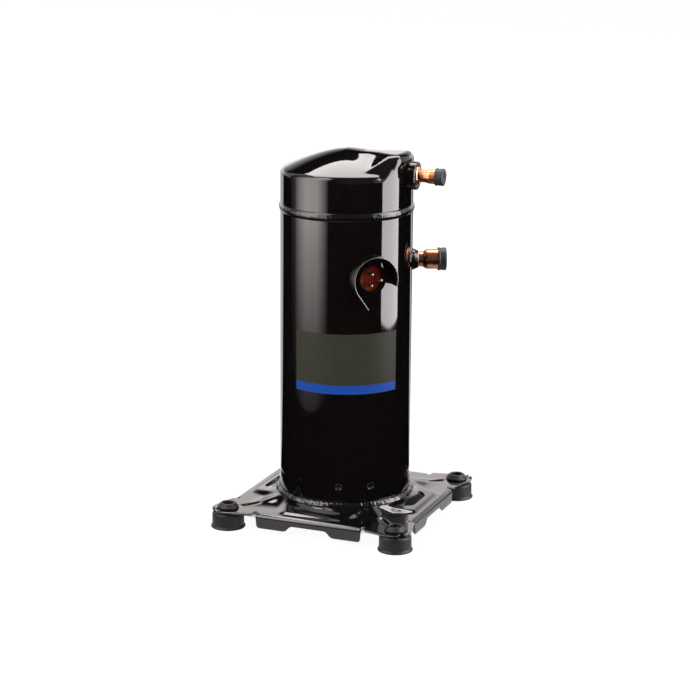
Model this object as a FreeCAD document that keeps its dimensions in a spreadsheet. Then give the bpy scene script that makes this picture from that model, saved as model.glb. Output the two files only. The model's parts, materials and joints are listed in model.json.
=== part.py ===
"""Hermetic scroll compressor: welded shell on a stamped base, motor, crankshaft and scroll set inside.

All lengths are in millimetres. Z points up, the origin is on the floor under the shell's axis, and the
four feet stand at the corners of a square along X and Y.
"""
import FreeCAD, Part
import math
import os

import Sketcher

VECTOR = FreeCAD.Vector

# Driving dimensions: name, value, and what it measures
SIZES = [
    ("shell_radius", 69.85, "outside radius of the shell"),
    ("shell_wall", 3.0, "thickness of shell, caps and partition rim"),
    ("tube_bottom", 34.0, "lower end of the shell tube"),
    ("tube_top", 336.5, "upper end of the shell tube"),
    ("flare_rise", 16.0, "height over which the tube's foot widens"),
    ("flare_out", 1.3, "how far the tube's foot widens"),
    ("fit_gap", 0.05, "radial gap of pieces pressed or brazed together"),
    ("run_gap", 0.05, "radial gap of a journal in its bush"),
    ("free_gap", 0.3, "gap between faces that move past each other"),
    ("cap_wall", 3.0, "thickness of the two end caps"),
    ("dish_floor", 9.5, "height of the bottom cap above the floor"),
    ("dish_flat", 45.0, "radius of the bottom cap's flat middle"),
    ("dish_knee_radius", 62.0, "radius where the dish turns up"),
    ("dish_knee_rise", 6.5, "height of that turn above the dish floor"),
    ("dish_rim", 24.0, "height where the dish meets the full radius"),
    ("skirt_lap", 10.0, "how far the bottom cap reaches into the tube"),
    ("cap_shoulder", 379.0, "height of the top cap's round shoulder"),
    ("cap_top", 400.5, "overall height"),
    ("cap_crown_radius", 15.0, "radius of the top cap's flat crown"),
    ("cap_corner", 4.0, "rounding of the shoulder"),
    ("hump_top", 399.5, "height of the raised outlet housing"),
    ("hump_corner", 9.0, "rounding of the outlet housing's end"),
    ("hump_half_top", 20.0, "half width of the outlet housing at its top"),
    ("hump_half_foot", 35.0, "half width of the outlet housing at its foot"),
    ("hump_foot", 376.0, "height of the outlet housing's foot"),
    ("bead_out", 0.95, "how far the seam weld stands proud"),
    ("bead_half", 3.7, "half height of the seam weld"),
    ("bead_crest", 2.2, "half height of the seam weld's crest"),
    ("foot_half", 95.25, "half the spacing of the mounting holes"),
    ("plate_under", 17.0, "height of the base plate's underside"),
    ("plate_gauge", 3.0, "thickness of the base plate"),
    ("ear_radius", 17.3, "radius of the base plate round each foot"),
    ("ear_bore", 10.3, "radius of the hole for the foot"),
    ("ear_flank", 15.0, "angle at which the plate's edge meets an ear"),
    ("ear_slit", 3.2, "width of the slit from that hole to the corner"),
    ("rim_half", 103.5, "half the base plate's width over its flanges"),
    ("rim_run", 60.0, "half the length of a flange"),
    ("tab_low", 5.0, "height of the flange tabs' lower edge"),
    ("tab_arch", 11.5, "height of the relief between the tabs"),
    ("tab_outer", 56.5, "outer end of a tab's lower edge"),
    ("tab_inner", 26.0, "inner end of a tab's lower edge"),
    ("arch_half", 20.0, "half the length of the relief"),
    ("collar_top", 28.5, "height of the base plate's collar"),
    ("collar_land", 74.0, "outer radius of the collar's top"),
    ("collar_foot", 86.0, "radius where the collar meets the plate"),
    ("panel_rise", 3.0, "height of the raised panel round a slot"),
    ("panel_inner_half", 46.0, "half the panel's length at the collar"),
    ("panel_outer_half", 38.0, "half the panel's length at the rim"),
    ("panel_edge", 96.0, "distance of the panel's outer edge"),
    ("slot_inner", 77.0, "distance of the slot's inner edge"),
    ("slot_outer", 87.0, "distance of the slot's outer edge"),
    ("slot_half", 27.0, "half the slot's length at its inner edge"),
    ("slot_half_outer", 19.0, "half the slot's length at its outer edge"),
    ("slot_side", 3.0, "depth of the slot's steep side"),
    ("slot_lean", 1.0, "how far that side leans in"),
    ("groove_half", 8.0, "half the width of the diagonal groove"),
    ("groove_depth", 1.2, "depth of the diagonal groove"),
    ("groove_start", 99.0, "inner end of the groove from the axis"),
    ("groove_end", 120.0, "outer end of the groove from the axis"),
    ("grommet_radius", 17.0, "radius of a rubber foot"),
    ("grommet_lip", 18.4, "radius of the foot's bottom lip"),
    ("grommet_bore", 5.7, "radius of the foot's bolt hole"),
    ("grommet_neck", 8.8, "radius of the neck above the plate"),
    ("grommet_flange", 11.5, "radius of the flange above the plate"),
    ("grommet_top_radius", 7.6, "radius of the foot's top"),
    ("grommet_top", 26.4, "height of the foot"),
    ("grommet_lip_rise", 1.4, "height of the foot's bottom lip"),
    ("grommet_side_low", 3.2, "height where the foot's straight side starts"),
    ("grommet_bevel", 1.4, "bevel of the foot under the plate"),
    ("grommet_neck_rise", 0.6, "height of the neck above the plate"),
    ("grommet_flange_low", 1.2, "height of the flange's lower edge above the plate"),
    ("grommet_flange_high", 2.2, "height of the flange's upper edge above the plate"),
    ("label_low", 151.0, "lower edge of the label"),
    ("label_high", 215.5, "upper edge of the label"),
    ("label_start", -115.5, "azimuth where the label starts"),
    ("label_sweep", 96.0, "angle that the label covers"),
    ("label_gauge", 0.2, "thickness of the label"),
    ("suction_azimuth", 25.0, "direction of the suction port"),
    ("suction_height", 280.5, "height of the suction port"),
    ("suction_neck", 8.0, "outside radius of the suction stub's neck"),
    ("suction_socket", 9.55, "bore radius of the suction socket"),
    ("discharge_azimuth", 4.0, "direction of the discharge port"),
    ("discharge_height", 375.0, "height of the discharge port"),
    ("discharge_neck", 6.4, "outside radius of the discharge stub's neck"),
    ("discharge_socket", 6.4, "bore radius of the discharge socket"),
    ("suction_swage", 81.0, "distance where the suction stub starts to widen"),
    ("discharge_swage", 86.0, "distance where the discharge stub starts to widen"),
    ("swage_length", 4.0, "length over which a stub widens"),
    ("stub_wall", 1.05, "wall of both copper stubs"),
    ("stub_end", 104.0, "distance of the stubs' open ends from the axis"),
    ("stub_start", 60.0, "distance of the stubs' inner ends"),
    ("cap_grip", 7.0, "how far a rubber cap covers its stub"),
    ("cap_skin", 1.6, "thickness of a rubber cap"),
    ("cap_gap", 0.08, "gap of a rubber cap on its stub"),
    ("cap_edge", 1.0, "bevel round a rubber cap's end"),
    ("collar_out", 77.5, "distance of the discharge collar's face"),
    ("collar_radius", 14.75, "radius of the discharge collar"),
    ("collar_edge", 1.0, "bevel of the discharge collar"),
    ("braze_width", 3.5, "radial width of the braze ring"),
    ("braze_out", 1.5, "thickness of the braze ring"),
    ("cone_out", 76.0, "distance of the suction fitting's nose"),
    ("cone_radius", 11.6, "radius of the suction fitting at the shell"),
    ("cone_step", 2.0, "how far that radius stands out of the shell"),
    ("cone_nose", 1.2, "wall of the suction fitting at its nose"),
    ("terminal_azimuth", -45.0, "direction of the electrical terminal"),
    ("terminal_height", 273.5, "height of the electrical terminal"),
    ("terminal_disc", 13.2, "radius of the terminal's recessed face"),
    ("terminal_face", 62.0, "distance of that face from the axis"),
    ("terminal_cup", 16.2, "outside radius of the terminal cup"),
    ("cup_sink", 1.5, "how far the cup's rim lies below the shell's face"),
    ("sealant_gauge", 0.8, "thickness of the red sealing layer"),
    ("pin_radius", 1.6, "radius of a terminal pin where it stands free"),
    ("stem_radius", 1.4, "radius of a terminal pin inside the glass and the lead block"),
    ("pin_circle", 6.87, "radius of the circle of pins"),
    ("pin_tip", 76.5, "distance of the pin tips from the axis"),
    ("pin_root", 55.0, "distance of the pins' inner ends"),
    ("pin_turn", -4.0, "turn of the pins about the terminal's axis"),
    ("glass_radius", 2.9, "radius of the glass bead round a pin"),
    ("glass_out", 4.0, "how far a glass bead stands out of the cup"),
    ("fence_radius", 24.3, "radius of the fence's middle line"),
    ("fence_gauge", 1.5, "thickness of the fence strip"),
    ("fence_out", 79.5, "distance of the fence's rim from the axis"),
    ("fence_start", -18.0, "angle where the fence's arc starts"),
    ("fence_end", 215.0, "angle where the fence's arc ends"),
    ("fence_leg", 19.7, "length of the straight leg after the arc"),
    ("plug_spread", 14.2, "angle from a bracket leg's middle to a plug weld"),
    ("plug_height", 49.4, "height of the plug welds"),
    ("plug_radius", 4.2, "radius of a plug weld"),
    ("plug_sink", 0.9, "how far a plug weld lies below the shell's face"),
    ("leg_azimuth", -59.1, "direction of the first bracket leg"),
    ("orbit", 4.0, "orbit radius of the orbiting scroll"),
    ("wrap_wall", 3.9, "thickness of the scroll wraps"),
    ("flank_gap", 0.1, "gap between the wraps' flanks"),
    ("wrap_height", 26.0, "height of the wraps"),
    ("wrap_start", 3.4, "involute angle, in radians, where a wrap starts"),
    ("wrap_end", 16.4, "involute angle, in radians, where a wrap ends"),
    ("thrust_height", 283.7, "height of the thrust face"),
    ("orbit_base_radius", 48.0, "radius of the orbiting scroll's base"),
    ("orbit_base_gauge", 9.2, "thickness of the orbiting scroll's base"),
    ("hub_radius", 20.0, "radius of the orbiting scroll's hub"),
    ("hub_length", 20.0, "length of the hub"),
    ("eccentric_radius", 9.0, "radius of the crank's eccentric pin"),
    ("bushing_radius", 11.4, "outside radius of the drive bushing"),
    ("hub_bush_wall", 1.6, "wall of the hub's bush"),
    ("bush_inset", 1.0, "how far a bush ends short of its hub"),
    ("fixed_radius", 57.0, "radius of the fixed scroll"),
    ("fixed_floor", 7.5, "thickness of the fixed scroll's floor"),
    ("fixed_skirt_inner", 48.3, "inner radius of the fixed scroll's skirt"),
    ("fixed_skirt_drop", 19.0, "depth of that skirt"),
    ("inlet_half", 10.0, "half the width of the inlets in that skirt"),
    ("recess_depth", 4.0, "depth of the floating seal's recess"),
    ("recess_inner", 22.0, "inner radius of the recess"),
    ("recess_outer", 41.0, "outer radius of the recess"),
    ("scroll_lift", 1.0, "axial travel of the fixed scroll"),
    ("seal_lift", 1.2, "axial travel of the floating seal"),
    ("lip_width", 2.0, "width of the floating seal's lip rings"),
    ("seal_land", 1.5, "thickness of the land over the lip rings"),
    ("seal_collar", 3.0, "wall of the floating seal's collar"),
    ("port_radius", 5.0, "radius of the discharge port"),
    ("post_circle", 59.5, "distance of the four guide posts"),
    ("post_radius", 6.5, "radius of a guide post"),
    ("post_top", 316.0, "height of the guide posts"),
    ("sleeve_radius", 4.5, "radius of a guide sleeve"),
    ("bolt_radius", 3.0, "radius of a scroll bolt"),
    ("bolt_reach", 18.0, "how far a scroll bolt reaches into its post"),
    ("thread_depth", 20.0, "depth of the threaded hole in a post"),
    ("bolt_head", 6.2, "radius of a bolt's head"),
    ("bolt_head_rise", 5.0, "height of a bolt's head"),
    ("ring_inner", 40.5, "inner radius of the Oldham ring"),
    ("ring_outer", 46.0, "outer radius of the Oldham ring"),
    ("ring_under", 278.5, "height of the Oldham ring's underside"),
    ("ring_gauge", 4.8, "thickness of the Oldham ring"),
    ("key_circle", 42.7, "distance of the Oldham keys"),
    ("key_width", 8.0, "width of an Oldham key"),
    ("key_length", 5.0, "length of an Oldham key"),
    ("key_drop", 4.5, "height of the lower keys"),
    ("key_rise", 4.0, "height of the upper keys"),
    ("key_gap", 0.05, "gap on each side of a lower key"),
    ("well_radius", 27.0, "radius of the well round the scroll's hub"),
    ("thrust_outer", 36.0, "outer radius of the thrust face"),
    ("track_outer", 50.0, "outer radius of the Oldham track"),
    ("track_gauge", 6.2, "thickness of the track's flange"),
    ("neck_radius", 38.0, "radius of the housing's neck under the track"),
    ("neck_flare", 6.0, "height over which that neck widens"),
    ("web_low", 244.0, "lower face of the main housing's web"),
    ("web_gauge", 12.0, "thickness of that web"),
    ("housing_low", 236.0, "lower end of the main housing"),
    ("housing_hub", 30.0, "radius of the main housing's hub"),
    ("window_inner", 43.0, "inner edge of the web's windows"),
    ("window_outer", 62.0, "outer edge of the web's windows"),
    ("window_half", 16.0, "half the windows' width"),
    ("main_journal", 16.0, "radius of the main journal"),
    ("main_journal_low", 234.0, "lower end of the main journal"),
    ("bush_wall", 3.0, "wall of the main and lower bushes"),
    ("main_journal_top", 262.3, "upper end of the main journal"),
    ("pin_short", 1.7, "how far the eccentric pin ends below the thrust face"),
    ("bushing_rise", 2.0, "how far the drive bushing starts above the hub's end"),
    ("shaft_radius", 14.0, "radius of the shaft in the rotor"),
    ("lower_journal", 10.0, "radius of the lower journal"),
    ("shaft_shoulder", 62.0, "height of the shaft's lower shoulder"),
    ("shaft_foot", 42.0, "lower end of the shaft"),
    ("oil_bore", 2.5, "radius of the oil bore"),
    ("pickup_tip", 17.0, "lower end of the oil pickup"),
    ("pickup_radius", 8.0, "radius of the oil pickup"),
    ("pickup_wall", 1.5, "wall of the oil pickup"),
    ("pickup_cone", 12.0, "height of the oil pickup's cone"),
    ("bracket_hub", 20.0, "radius of the lower bearing's hub"),
    ("bracket_low", 44.0, "lower end of that hub"),
    ("bracket_top", 60.0, "upper end of that hub"),
    ("washer_radius", 18.0, "outer radius of the thrust washer"),
    ("arm_clear", 1.0, "gap between a bracket arm and the bottom cap"),
    ("arm_half", 18.0, "half the width of a bracket arm"),
    ("arm_gauge", 5.0, "thickness of a bracket arm"),
    ("leg_half_rise", 9.0, "half the height of a bracket leg's pad"),
    ("leg_wall", 4.0, "thickness of a bracket leg's pad"),
    ("leg_sweep", 40.0, "angle that a bracket leg's pad covers"),
    ("rotor_radius", 35.2, "radius of the rotor"),
    ("air_gap", 0.5, "gap between rotor and stator"),
    ("stack_low", 110.0, "lower face of the stator"),
    ("stack_high", 200.0, "upper face of the stator"),
    ("rotor_over", 2.0, "how far the rotor stands out of the stator"),
    ("end_ring", 4.0, "height of a rotor end ring"),
    ("end_ring_inner", 22.0, "inner radius of a rotor end ring"),
    ("end_ring_step", 0.6, "how far an end ring lies inside the rotor's face"),
    ("slot_count", 24, "number of stator slots"),
    ("slot_width", 5.0, "width of a stator slot"),
    ("slot_start", 40.0, "inner radius of the stator slots"),
    ("slot_end", 54.0, "outer radius of the stator slots"),
    ("coil_gap", 0.2, "gap between winding and slot"),
    ("turn_rise", 26.0, "height of the winding's end turns"),
    ("turn_outer", 62.0, "outer radius of the end turns"),
    ("turn_bevel", 4.0, "bevel of the end turns"),
    ("notch_half", 14.0, "half the width of the stator's oil notches"),
    ("notch_depth", 2.4, "depth of the oil notches"),
    ("weight_radius", 33.0, "radius of the counterweights"),
    ("upper_weight", 16.0, "height of the upper counterweight"),
    ("upper_weight_sweep", 180.0, "angle that the upper counterweight covers"),
    ("lower_weight", 13.0, "height of the lower counterweight"),
    ("lower_weight_sweep", 170.0, "angle that the lower counterweight covers"),
    ("partition_gauge", 3.0, "thickness of the partition"),
    ("partition_rim", 4.0, "height of the partition's rim"),
    ("neck_drop", 2.0, "how far the valves' necks reach below the partition"),
    ("valve_seat", 343.0, "height of the check valve's seat"),
    ("valve_neck", 9.0, "radius of the check valve's neck"),
    ("valve_radius", 14.0, "radius of the check valve's cage"),
    ("valve_bore", 11.5, "radius inside the cage"),
    ("valve_disc", 11.0, "radius of the valve disc"),
    ("valve_disc_gauge", 2.0, "thickness of the valve disc"),
    ("valve_lift", 6.0, "travel of the valve disc"),
    ("valve_window", 7.0, "width of the cage's windows"),
    ("valve_land", 1.0, "land below and above those windows"),
    ("valve_roof", 2.0, "thickness of the cage's roof"),
    ("valve_vent", 3.0, "radius of the hole in that roof"),
    ("relief_place", 40.0, "distance of the relief valve from the axis"),
    ("relief_radius", 6.0, "radius of the relief valve"),
    ("relief_bore", 4.3, "radius of the relief valve's chamber"),
    ("relief_head", 9.0, "radius of the relief valve's head"),
    ("relief_head_rise", 2.5, "height of that head"),
    ("relief_port", 2.5, "radius of the relief valve's port"),
    ("relief_roof", 1.5, "thickness of the relief valve's roof"),
    ("relief_vent", 1.5, "radius of the hole in that roof"),
    ("relief_gap", 0.1, "gap round the relief plunger and its spring"),
    ("relief_plunger_gauge", 2.3, "thickness of the relief plunger"),
    ("relief_lift", 2.0, "travel of the relief plunger"),
    ("relief_wire", 0.45, "radius of the relief spring's wire"),
    ("relief_coil", 3.2, "radius of the relief spring's coil"),
    ("relief_turns", 3, "turns of the relief spring"),
    ("relief_packed", 3.6, "height left for the spring when the valve is open"),
    ("magnet_radius", 9.0, "radius of the sump magnet"),
    ("magnet_gauge", 3.5, "thickness of the sump magnet"),
    ("magnet_place", 33.0, "distance of the sump magnet from the axis"),
    ("block_radius", 12.0, "radius of the lead block"),
    ("block_start", 53.2, "distance of the lead block's inner face"),
    ("lead_radius", 1.5, "radius of a motor lead"),
    ("lead_spacing", 6.0, "distance between motor leads"),
    ("protector_radius", 5.0, "radius of the motor protector"),
    ("protector_length", 22.0, "length of the motor protector"),
    ("protector_place", 51.0, "distance of the motor protector from the axis"),
]

FEET = {
    "front_left_foot": (-1, -1),
    "front_right_foot": (1, -1),
    "rear_right_foot": (1, 1),
    "rear_left_foot": (-1, 1),
}
QUARTERS = (0, 90, 180, 270)

# How far a cutting outline runs past the faces that it cuts
OVER = 1


class Size:
    """A length with its value and the sheet expression that it comes from."""

    def __init__(self, value, text):
        self.value = value
        self.text = text

    def __add__(self, other):
        other = sized(other)
        return Size(self.value + other.value, f"({self.text} + {other.text})")

    def __radd__(self, other):
        return sized(other) + self

    def __sub__(self, other):
        other = sized(other)
        return Size(self.value - other.value, f"({self.text} - {other.text})")

    def __rsub__(self, other):
        return sized(other) - self

    def __mul__(self, other):
        other = sized(other)
        return Size(self.value * other.value, f"({self.text} * {other.text})")

    def __rmul__(self, other):
        return sized(other) * self

    def __truediv__(self, other):
        other = sized(other)
        return Size(self.value / other.value, f"({self.text} / {other.text})")

    def __neg__(self):
        return Size(-self.value, f"(0 - {self.text})")


def sized(value):
    """A Size as it is, or a plain number as one."""
    if isinstance(value, Size):
        return value
    return Size(float(value), f"({value})")


def cosine(angle):
    """Cosine of an angle in degrees."""
    return Size(math.cos(math.radians(angle.value)), f"cos({angle.text} * 1 deg)")


def sine(angle):
    """Sine of an angle in degrees."""
    return Size(math.sin(math.radians(angle.value)), f"sin({angle.text} * 1 deg)")


def root(square):
    """Square root of a Size."""
    return Size(math.sqrt(square.value), f"sqrt({square.text})")


class Sheet:
    """The driving dimensions, read as Size values by name."""

    def __init__(self, document):
        cells = document.addObject("Spreadsheet::Sheet", "Sizes")
        for row, (name, value, meaning) in enumerate(SIZES, start=1):
            cells.set(f"A{row}", meaning)
            cells.set(f"B{row}", str(value))
            cells.setAlias(f"B{row}", name)
            setattr(self, name, Size(float(value), f"Sizes.{name}"))
        document.recompute()


DOCUMENT = FreeCAD.newDocument("ScrollCompressor")
S = Sheet(DOCUMENT)
PIECES = []


def piece(node, name):
    """Note an object as a finished sub-part under its node name."""
    node.Label = name
    PIECES.append(node)
    return node


def bind(node, **sizes):
    """Tie properties of an object to the sheet."""
    for name, size in sizes.items():
        node.setExpression(name, sized(size).text)


def place(node, x=0, y=0, z=0, azimuth=0, pitch=0):
    """Place an object by the sheet: moved to x, y, z, pitched about Y, then turned about Z."""
    spot = "; ".join(f"{sized(length).text} * 1 mm" for length in (x, y, z))
    node.setExpression("Placement", f"placement(vector({spot}); rotation({sized(azimuth).text}; {pitch}; 0))")
    return node


def origin_part(body, role):
    """One of the body's own origin planes or axes."""
    return next(part for part in body.Origin.OriginFeatures if part.Role == role)


def new_body(name):
    """An empty body, for one solid."""
    return DOCUMENT.addObject("PartDesign::Body", name)


def new_sketch(body, plane, offset=0, turn=0):
    """A sketch on one of the body's planes, moved along its normal and turned in it."""
    sketch = body.newObject("Sketcher::SketchObject", f"{body.Name}_outline")
    sketch.AttachmentSupport = [(origin_part(body, plane), "")]
    sketch.MapMode = "FlatFace"
    shift = f"vector(0 mm; 0 mm; {sized(offset).text} * 1 mm)"
    sketch.setExpression("AttachmentOffset", f"placement({shift}; rotation({sized(turn).text}; 0; 0))")
    return sketch


def fix_point(sketch, edge, end, x, y):
    """Dimension one point of a sketch from the origin by the sheet."""
    for kind, axis, size in (("DistanceX", -2, x), ("DistanceY", -1, y)):
        if size.value == 0:
            sketch.addConstraint(Sketcher.Constraint("PointOnObject", edge, end, axis))
            continue
        number = sketch.addConstraint(Sketcher.Constraint(kind, -1, 1, edge, end, size.value))
        sketch.setExpression(f"Constraints[{number}]", size.text)


def draw_polygon(sketch, corners):
    """Draw a closed outline through corners given by the sheet."""
    corners = [(sized(x), sized(y)) for x, y in corners]
    points = [VECTOR(x.value, y.value, 0) for x, y in corners]
    first = sketch.GeometryCount
    count = len(corners)
    for index, point in enumerate(points):
        sketch.addGeometry(Part.LineSegment(point, points[(index + 1) % count]), False)
    for index in range(count):
        after = first + (index + 1) % count
        sketch.addConstraint(Sketcher.Constraint("Coincident", first + index, 2, after, 1))
    for index, (x, y) in enumerate(corners):
        fix_point(sketch, first + index, 1, x, y)


def draw_circle(sketch, radius, x=0, y=0):
    """Draw a circle with its centre and radius given by the sheet."""
    x, y, radius = sized(x), sized(y), sized(radius)
    edge = sketch.addGeometry(Part.Circle(VECTOR(x.value, y.value, 0), VECTOR(0, 0, 1), radius.value), False)
    fix_point(sketch, edge, 3, x, y)
    number = sketch.addConstraint(Sketcher.Constraint("Radius", edge, radius.value))
    sketch.setExpression(f"Constraints[{number}]", radius.text)


def rectangle(x_low, x_high, y_low, y_high):
    """The four corners of an upright rectangle."""
    return [(x_low, y_low), (x_high, y_low), (x_high, y_high), (x_low, y_high)]


def revolve(body, profile, sweep=360):
    """Turn a profile of radius and height round the body's Z axis."""
    sketch = new_sketch(body, "XZ_Plane")
    draw_polygon(sketch, profile)
    feature = body.newObject("PartDesign::Revolution", f"{body.Name}_turning")
    feature.Profile = sketch
    feature.ReferenceAxis = (sketch, ["V_Axis"])
    bind(feature, Angle=sweep)
    feature.Midplane = sweep != 360
    return feature


def turned(name, profile, sweep=360, **spot):
    """A body of revolution, whole or over part of a turn."""
    body = new_body(name)
    revolve(body, profile, sweep)
    return place(body, **spot)


def ring(name, inner, outer, low, high, **more):
    """A plain ring or tube."""
    return turned(name, rectangle(inner, outer, low, high), **more)


def pad(body, low, high, draw, plane="XY_Plane", turn=0):
    """Grow a sketched outline between two distances along its plane's normal."""
    sketch = new_sketch(body, plane, low, turn)
    draw(sketch)
    feature = body.newObject("PartDesign::Pad", f"{body.Name}_pad")
    feature.Profile = sketch
    bind(feature, Length=sized(high) - low)
    return feature


def pocket(body, low, high, draw, plane="XY_Plane", turn=0):
    """Cut a sketched outline away between two distances along its plane's normal."""
    sketch = new_sketch(body, plane, low, turn)
    draw(sketch)
    feature = body.newObject("PartDesign::Pocket", f"{body.Name}_pocket")
    feature.Profile = sketch
    feature.Reversed = True
    bind(feature, Length=sized(high) - low)
    return feature


def repeat(body, features, count):
    """Repeat features of a body evenly round its Z axis."""
    pattern = body.newObject("PartDesign::PolarPattern", f"{body.Name}_pattern")
    pattern.Originals = features
    pattern.Axis = (origin_part(body, "Z_Axis"), [""])
    pattern.Angle = 360
    bind(pattern, Occurrences=count)
    body.Tip = pattern
    return pattern


def cylinder(name, radius, length, **spot):
    """A plain cylinder, used to build or cut a sub-part."""
    solid = DOCUMENT.addObject("Part::Cylinder", name)
    bind(solid, Radius=radius, Height=length)
    return place(solid, **spot)


def radial_bore(name, radius, height, azimuth, start, end):
    """A cylinder that points out from the axis, between two distances."""
    angle = sized(azimuth)
    return cylinder(
        name, radius, sized(end) - start,
        x=start * cosine(angle), y=start * sine(angle), z=height, azimuth=azimuth, pitch=90,
    )


def cut(name, base, *tools):
    """Take tools away from a solid."""
    joined = tools[0]
    if len(tools) > 1:
        joined = DOCUMENT.addObject("Part::MultiFuse", f"{name}_tools")
        joined.Shapes = list(tools)
    result = DOCUMENT.addObject("Part::Cut", name)
    result.Base = base
    result.Tool = joined
    return result


def fuse(name, *solids):
    """Join solids into one."""
    result = DOCUMENT.addObject("Part::MultiFuse", name)
    result.Shapes = list(solids)
    return result


def group(name, solids):
    """Keep like pieces together as separate solids of one node."""
    result = DOCUMENT.addObject("Part::Compound", name)
    result.Links = solids
    return piece(result, name)


def shell_inner():
    """Inside radius of the shell."""
    return S.shell_radius - S.shell_wall


def wall_hole(name, radius, height, azimuth):
    """A tool for a round hole through the shell's wall, from well inside it to well outside it."""
    depth = radius + S.shell_wall
    return radial_bore(name, radius, height, azimuth, shell_inner() - depth, S.shell_radius + depth)


def build_shell():
    """Shell tube, bottom cap, welds and label."""
    inner = shell_inner()
    tube = turned("shell_tube_blank", [
        (inner, S.tube_bottom),
        (S.shell_radius + S.flare_out, S.tube_bottom),
        (S.shell_radius, S.tube_bottom + S.flare_rise),
        (S.shell_radius, S.tube_top),
        (inner, S.tube_top),
    ])
    tools = [
        wall_hole("terminal_hole", S.terminal_cup + S.fit_gap, S.terminal_height, S.terminal_azimuth),
        wall_hole("suction_hole", S.suction_neck + S.fit_gap, S.suction_height, S.suction_azimuth),
    ]
    plugs = []
    for index, azimuth in enumerate(plug_azimuths()):
        tools.append(wall_hole(f"plug_hole_{index}", S.plug_radius, S.plug_height, azimuth))
        plugs.append(radial_bore(
            f"plug_{index}", S.plug_radius - S.fit_gap, S.plug_height, azimuth,
            inner - S.fit_gap, S.shell_radius - S.plug_sink,
        ))
    piece(cut("shell_tube", tube, *tools), "shell_tube")
    group("bracket_plug_welds", plugs)

    lap = inner - S.fit_gap
    wall = S.cap_wall
    floor = S.dish_floor
    knee = floor + S.dish_knee_rise
    piece(turned("bottom_cap", [
        (0, floor),
        (S.dish_flat, floor),
        (S.dish_knee_radius, knee),
        (S.shell_radius, S.dish_rim),
        (S.shell_radius, S.tube_bottom),
        (lap, S.tube_bottom),
        (lap, S.tube_bottom + S.skirt_lap),
        (lap - wall, S.tube_bottom + S.skirt_lap),
        (lap - wall, S.dish_rim),
        (S.dish_knee_radius - wall, knee + wall),
        (S.dish_flat, floor + wall),
        (0, floor + wall),
    ]), "bottom_cap")
    seam = S.tube_top + S.partition_rim / 2
    piece(turned("seam_weld", [
        (S.shell_radius, seam - S.bead_half),
        (S.shell_radius + S.bead_out, seam - S.bead_crest),
        (S.shell_radius + S.bead_out, seam + S.bead_crest),
        (S.shell_radius, seam + S.bead_half),
    ]), "seam_weld")
    piece(turned("base_weld", [
        (S.shell_radius, S.collar_top),
        (S.collar_land, S.collar_top),
        (S.shell_radius + S.flare_out, S.tube_bottom - S.fit_gap),
        (S.shell_radius, S.tube_bottom - S.fit_gap),
    ]), "base_weld")
    piece(ring(
        "label", S.shell_radius + S.fit_gap, S.shell_radius + S.fit_gap + S.label_gauge,
        S.label_low, S.label_high,
        sweep=S.label_sweep, azimuth=S.label_start + S.label_sweep / 2,
    ), "label")


def plug_azimuths():
    """Directions of the plug welds, two on each of the three bracket legs."""
    return [S.leg_azimuth + turn + side * S.plug_spread for turn in (0, 120, 240) for side in (-1, 1)]


def cap_form(name, inset):
    """The top cap's form, drawn in by a wall: a shallow cone with the raised outlet housing over +X."""
    radius = S.shell_radius - inset
    low = S.tube_top + S.partition_rim
    slope = (S.cap_top - S.cap_shoulder) / (S.shell_radius - S.cap_crown_radius)
    cone = turned(f"{name}_cone", [
        (0, low),
        (radius, low),
        (radius, S.cap_shoulder - inset - slope * inset - S.cap_corner / 2),
        (radius - S.cap_corner / 2, S.cap_shoulder - inset + slope * (S.cap_corner / 2 - inset)),
        (S.cap_crown_radius, S.cap_top - inset),
        (0, S.cap_top - inset),
    ])
    corner = S.hump_corner
    high = S.hump_top - inset
    rounding = [
        (radius - corner + corner * cosine(sized(turn)), high - corner + corner * sine(sized(turn)))
        for turn in (0, 30, 60, 90)
    ]
    drum = turned(f"{name}_drum", [(0, low), (radius, low), *rounding, (0, high)])
    wedge = new_body(f"{name}_wedge")
    half_top = S.hump_half_top - inset
    half_foot = S.hump_half_foot - inset
    right = [(half_foot, S.hump_foot), (half_top, S.cap_top)]
    corners = right + [(-across, height) for across, height in reversed(right)]
    pad(wedge, 0, S.shell_radius + OVER, lambda sketch: draw_polygon(sketch, corners), plane="YZ_Plane")
    hump = DOCUMENT.addObject("Part::MultiCommon", f"{name}_hump")
    hump.Shapes = [drum, wedge]
    return fuse(name, cone, hump)


def build_top_cap():
    """The pressed top cap with its outlet hole."""
    hollow = cut("top_cap_wall", cap_form("cap_outside", sized(0)), cap_form("cap_inside", S.cap_wall))
    hole = wall_hole(
        "discharge_hole", S.discharge_neck + S.fit_gap, S.discharge_height, S.discharge_azimuth)
    piece(cut("top_cap", hollow, hole), "top_cap")


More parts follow.
